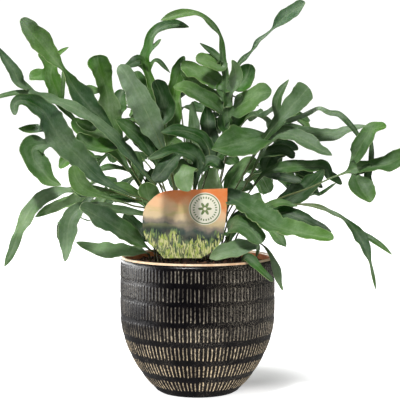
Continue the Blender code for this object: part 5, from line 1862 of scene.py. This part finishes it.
# What a blade's green is multiplied with where it is deeper, on top and on the under side
DEEPER_TOP = (0.4, 0.6, 0.26, 1)
DEEPER_UNDER = (0.4, 0.62, 0.24, 1)
WAX = screen(188, 204, 178)
VEIN_PALE = screen(196, 208, 160)
# How much of each effect is mixed in
WAX_SHARE = 0.14
STREAK_SHARE = 0.2
SPECKLE_SHARE = 0.3
PALE_SHARE = 0.45
MIDRIB_SHARE = 0.12
MARGIN_SHARE = 0.22


def blade_material(name, darker, roughness, vein_share):
    """A waxy leaf surface whose green is stored on the mesh as tint."""
    made, tree, shader = new_material(name)
    tint = stored(tree, "tint", "Color")
    lines = use(tree, veins, Place=stored(tree, "place", "Vector"))
    deeper = mix_colour(tree, 1.0, tint, darker, "MULTIPLY")
    drift = use(tree, mottle, Colour=tint, Other_Colour=deeper, Scale=34.0, Amount=0.45, Detail=1.0)
    waxed = mix_colour(tree, WAX_SHARE, drift["Colour"], WAX)
    colour = mix_colour(tree, lines["Bloom"], drift["Colour"], waxed)
    colour = mix_colour(tree, times(tree, lines["Streaks"], STREAK_SHARE), colour, deeper)
    speckled = use(tree, mottle, Colour=colour, Other_Colour=deeper, Scale=300.0, Amount=SPECKLE_SHARE)
    colour = speckled["Colour"]
    paler = mix_colour(tree, PALE_SHARE, colour, VEIN_PALE)
    for part, share in (("Side Veins", vein_share), ("Midrib", MIDRIB_SHARE), ("Margin", MARGIN_SHARE)):
        colour = mix_colour(tree, times(tree, lines[part], share), colour, paler)
    puckers = grained(tree, 1.0, PUCKER_DEPTH, Coarse_Scale=75.0, Fine_Scale=230.0, Fine_Share=0.2)
    fine = use(tree, grain, Coarse_Scale=420.0, Fine_Scale=1500.0, Fine_Share=0.5)["Height"]
    feed(tree, shader, {
        "Base Color": colour, "Roughness": ease(tree, drift["Mask"], 0.0, 1.0, roughness, roughness + 0.12),
        "Normal": bumped(tree, plus(tree, lines["Height"], fine), 0.28, VEIN_DEPTH, puckers),
        "Specular IOR Level": 0.2, "Sheen Weight": 0.01, "Sheen Roughness": 0.45,
        "Sheen Tint": (0.82, 0.95, 0.9, 1), "Subsurface Weight": 0.15, "Subsurface Radius": (0.6, 1.0, 0.25),
        "Subsurface Scale": 0.0012})
    return made


leaf_top = blade_material("waxy_blade_top", DEEPER_TOP, roughness=0.46, vein_share=0.04)
leaf_under = blade_material("dull_blade_under_side", DEEPER_UNDER, roughness=0.6, vein_share=0.1)

print("blade finishes:", leaf_top.name, leaf_under.name)

# %% Edge and stalk
BROWNER = (0.62, 0.5, 0.4, 1)

leaf_edge, tree, shader = new_material("thin_blade_edge")
tint = stored(tree, "tint", "Color")
lit = mix_colour(tree, 0.4, tint, screen(190, 204, 140))
mixed = use(tree, mottle, Colour=lit, Other_Colour=tint, Scale=90.0, Amount=0.6)
feed(tree, shader, {"Base Color": mixed["Colour"], "Roughness": 0.5})

stalk_skin, tree, shader = new_material("olive_stalk")
tint = stored(tree, "tint", "Color")
browner = mix_colour(tree, 1.0, tint, BROWNER, "MULTIPLY")
mixed = use(tree, mottle, Colour=tint, Other_Colour=browner, Scale=70.0, Amount=0.5)
feed(tree, shader, {"Base Color": mixed["Colour"], "Roughness": 0.45,
                    "Normal": grained(tree, 0.3, 0.0003, Coarse_Scale=500.0, Fine_Scale=2200.0)})
print("finishes beside the blades:", leaf_edge.name, stalk_skin.name)

# %% Thickness of a blade
LEAF_THICK = 0.5


def rounded_and_thickened(name, skin):
    """The skin as a mesh object: subdivided, given its thickness, with both applied."""
    rough = skin.as_object(name, [leaf_top, leaf_under, leaf_edge])
    subdivide = rough.modifiers.new("round", "SUBSURF")
    subdivide.levels = 1
    subdivide.render_levels = 1
    solid = rough.modifiers.new("thickness", "SOLIDIFY")
    solid.thickness = LEAF_THICK * MM
    solid.offset = 0
    solid.material_offset = 1
    solid.material_offset_rim = 2
    evaluated = rough.evaluated_get(bpy.context.evaluated_depsgraph_get())
    mesh = bpy.data.meshes.new_from_object(evaluated)
    bpy.data.objects.remove(rough)
    mesh.set_sharp_from_angle(angle=math.radians(55))
    made = bpy.data.objects.new(name, mesh)
    bpy.context.scene.collection.objects.link(made)
    return made


print("blades are", LEAF_THICK, "mm thick")

# %% Frond pieces
triangles = 0
for frond, (node, (rib, facing, lobes, _)) in zip(all_fronds, laid.items()):
    skin, ribs = grow(frond[0], rib, facing, lobes)
    piece = rounded_and_thickened("grown_" + node, skin)
    tubes = ribs.as_object("tubes", [stalk_skin])
    with bpy.context.temp_override(active_object=piece, selected_editable_objects=[piece, tubes]):
        bpy.ops.object.join()
    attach(piece, BODY)
    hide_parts(node)
    triangles += sum(len(face.vertices) - 2 for face in piece.data.polygons)
print("fronds grown:", len(laid), "with", triangles, "triangles")
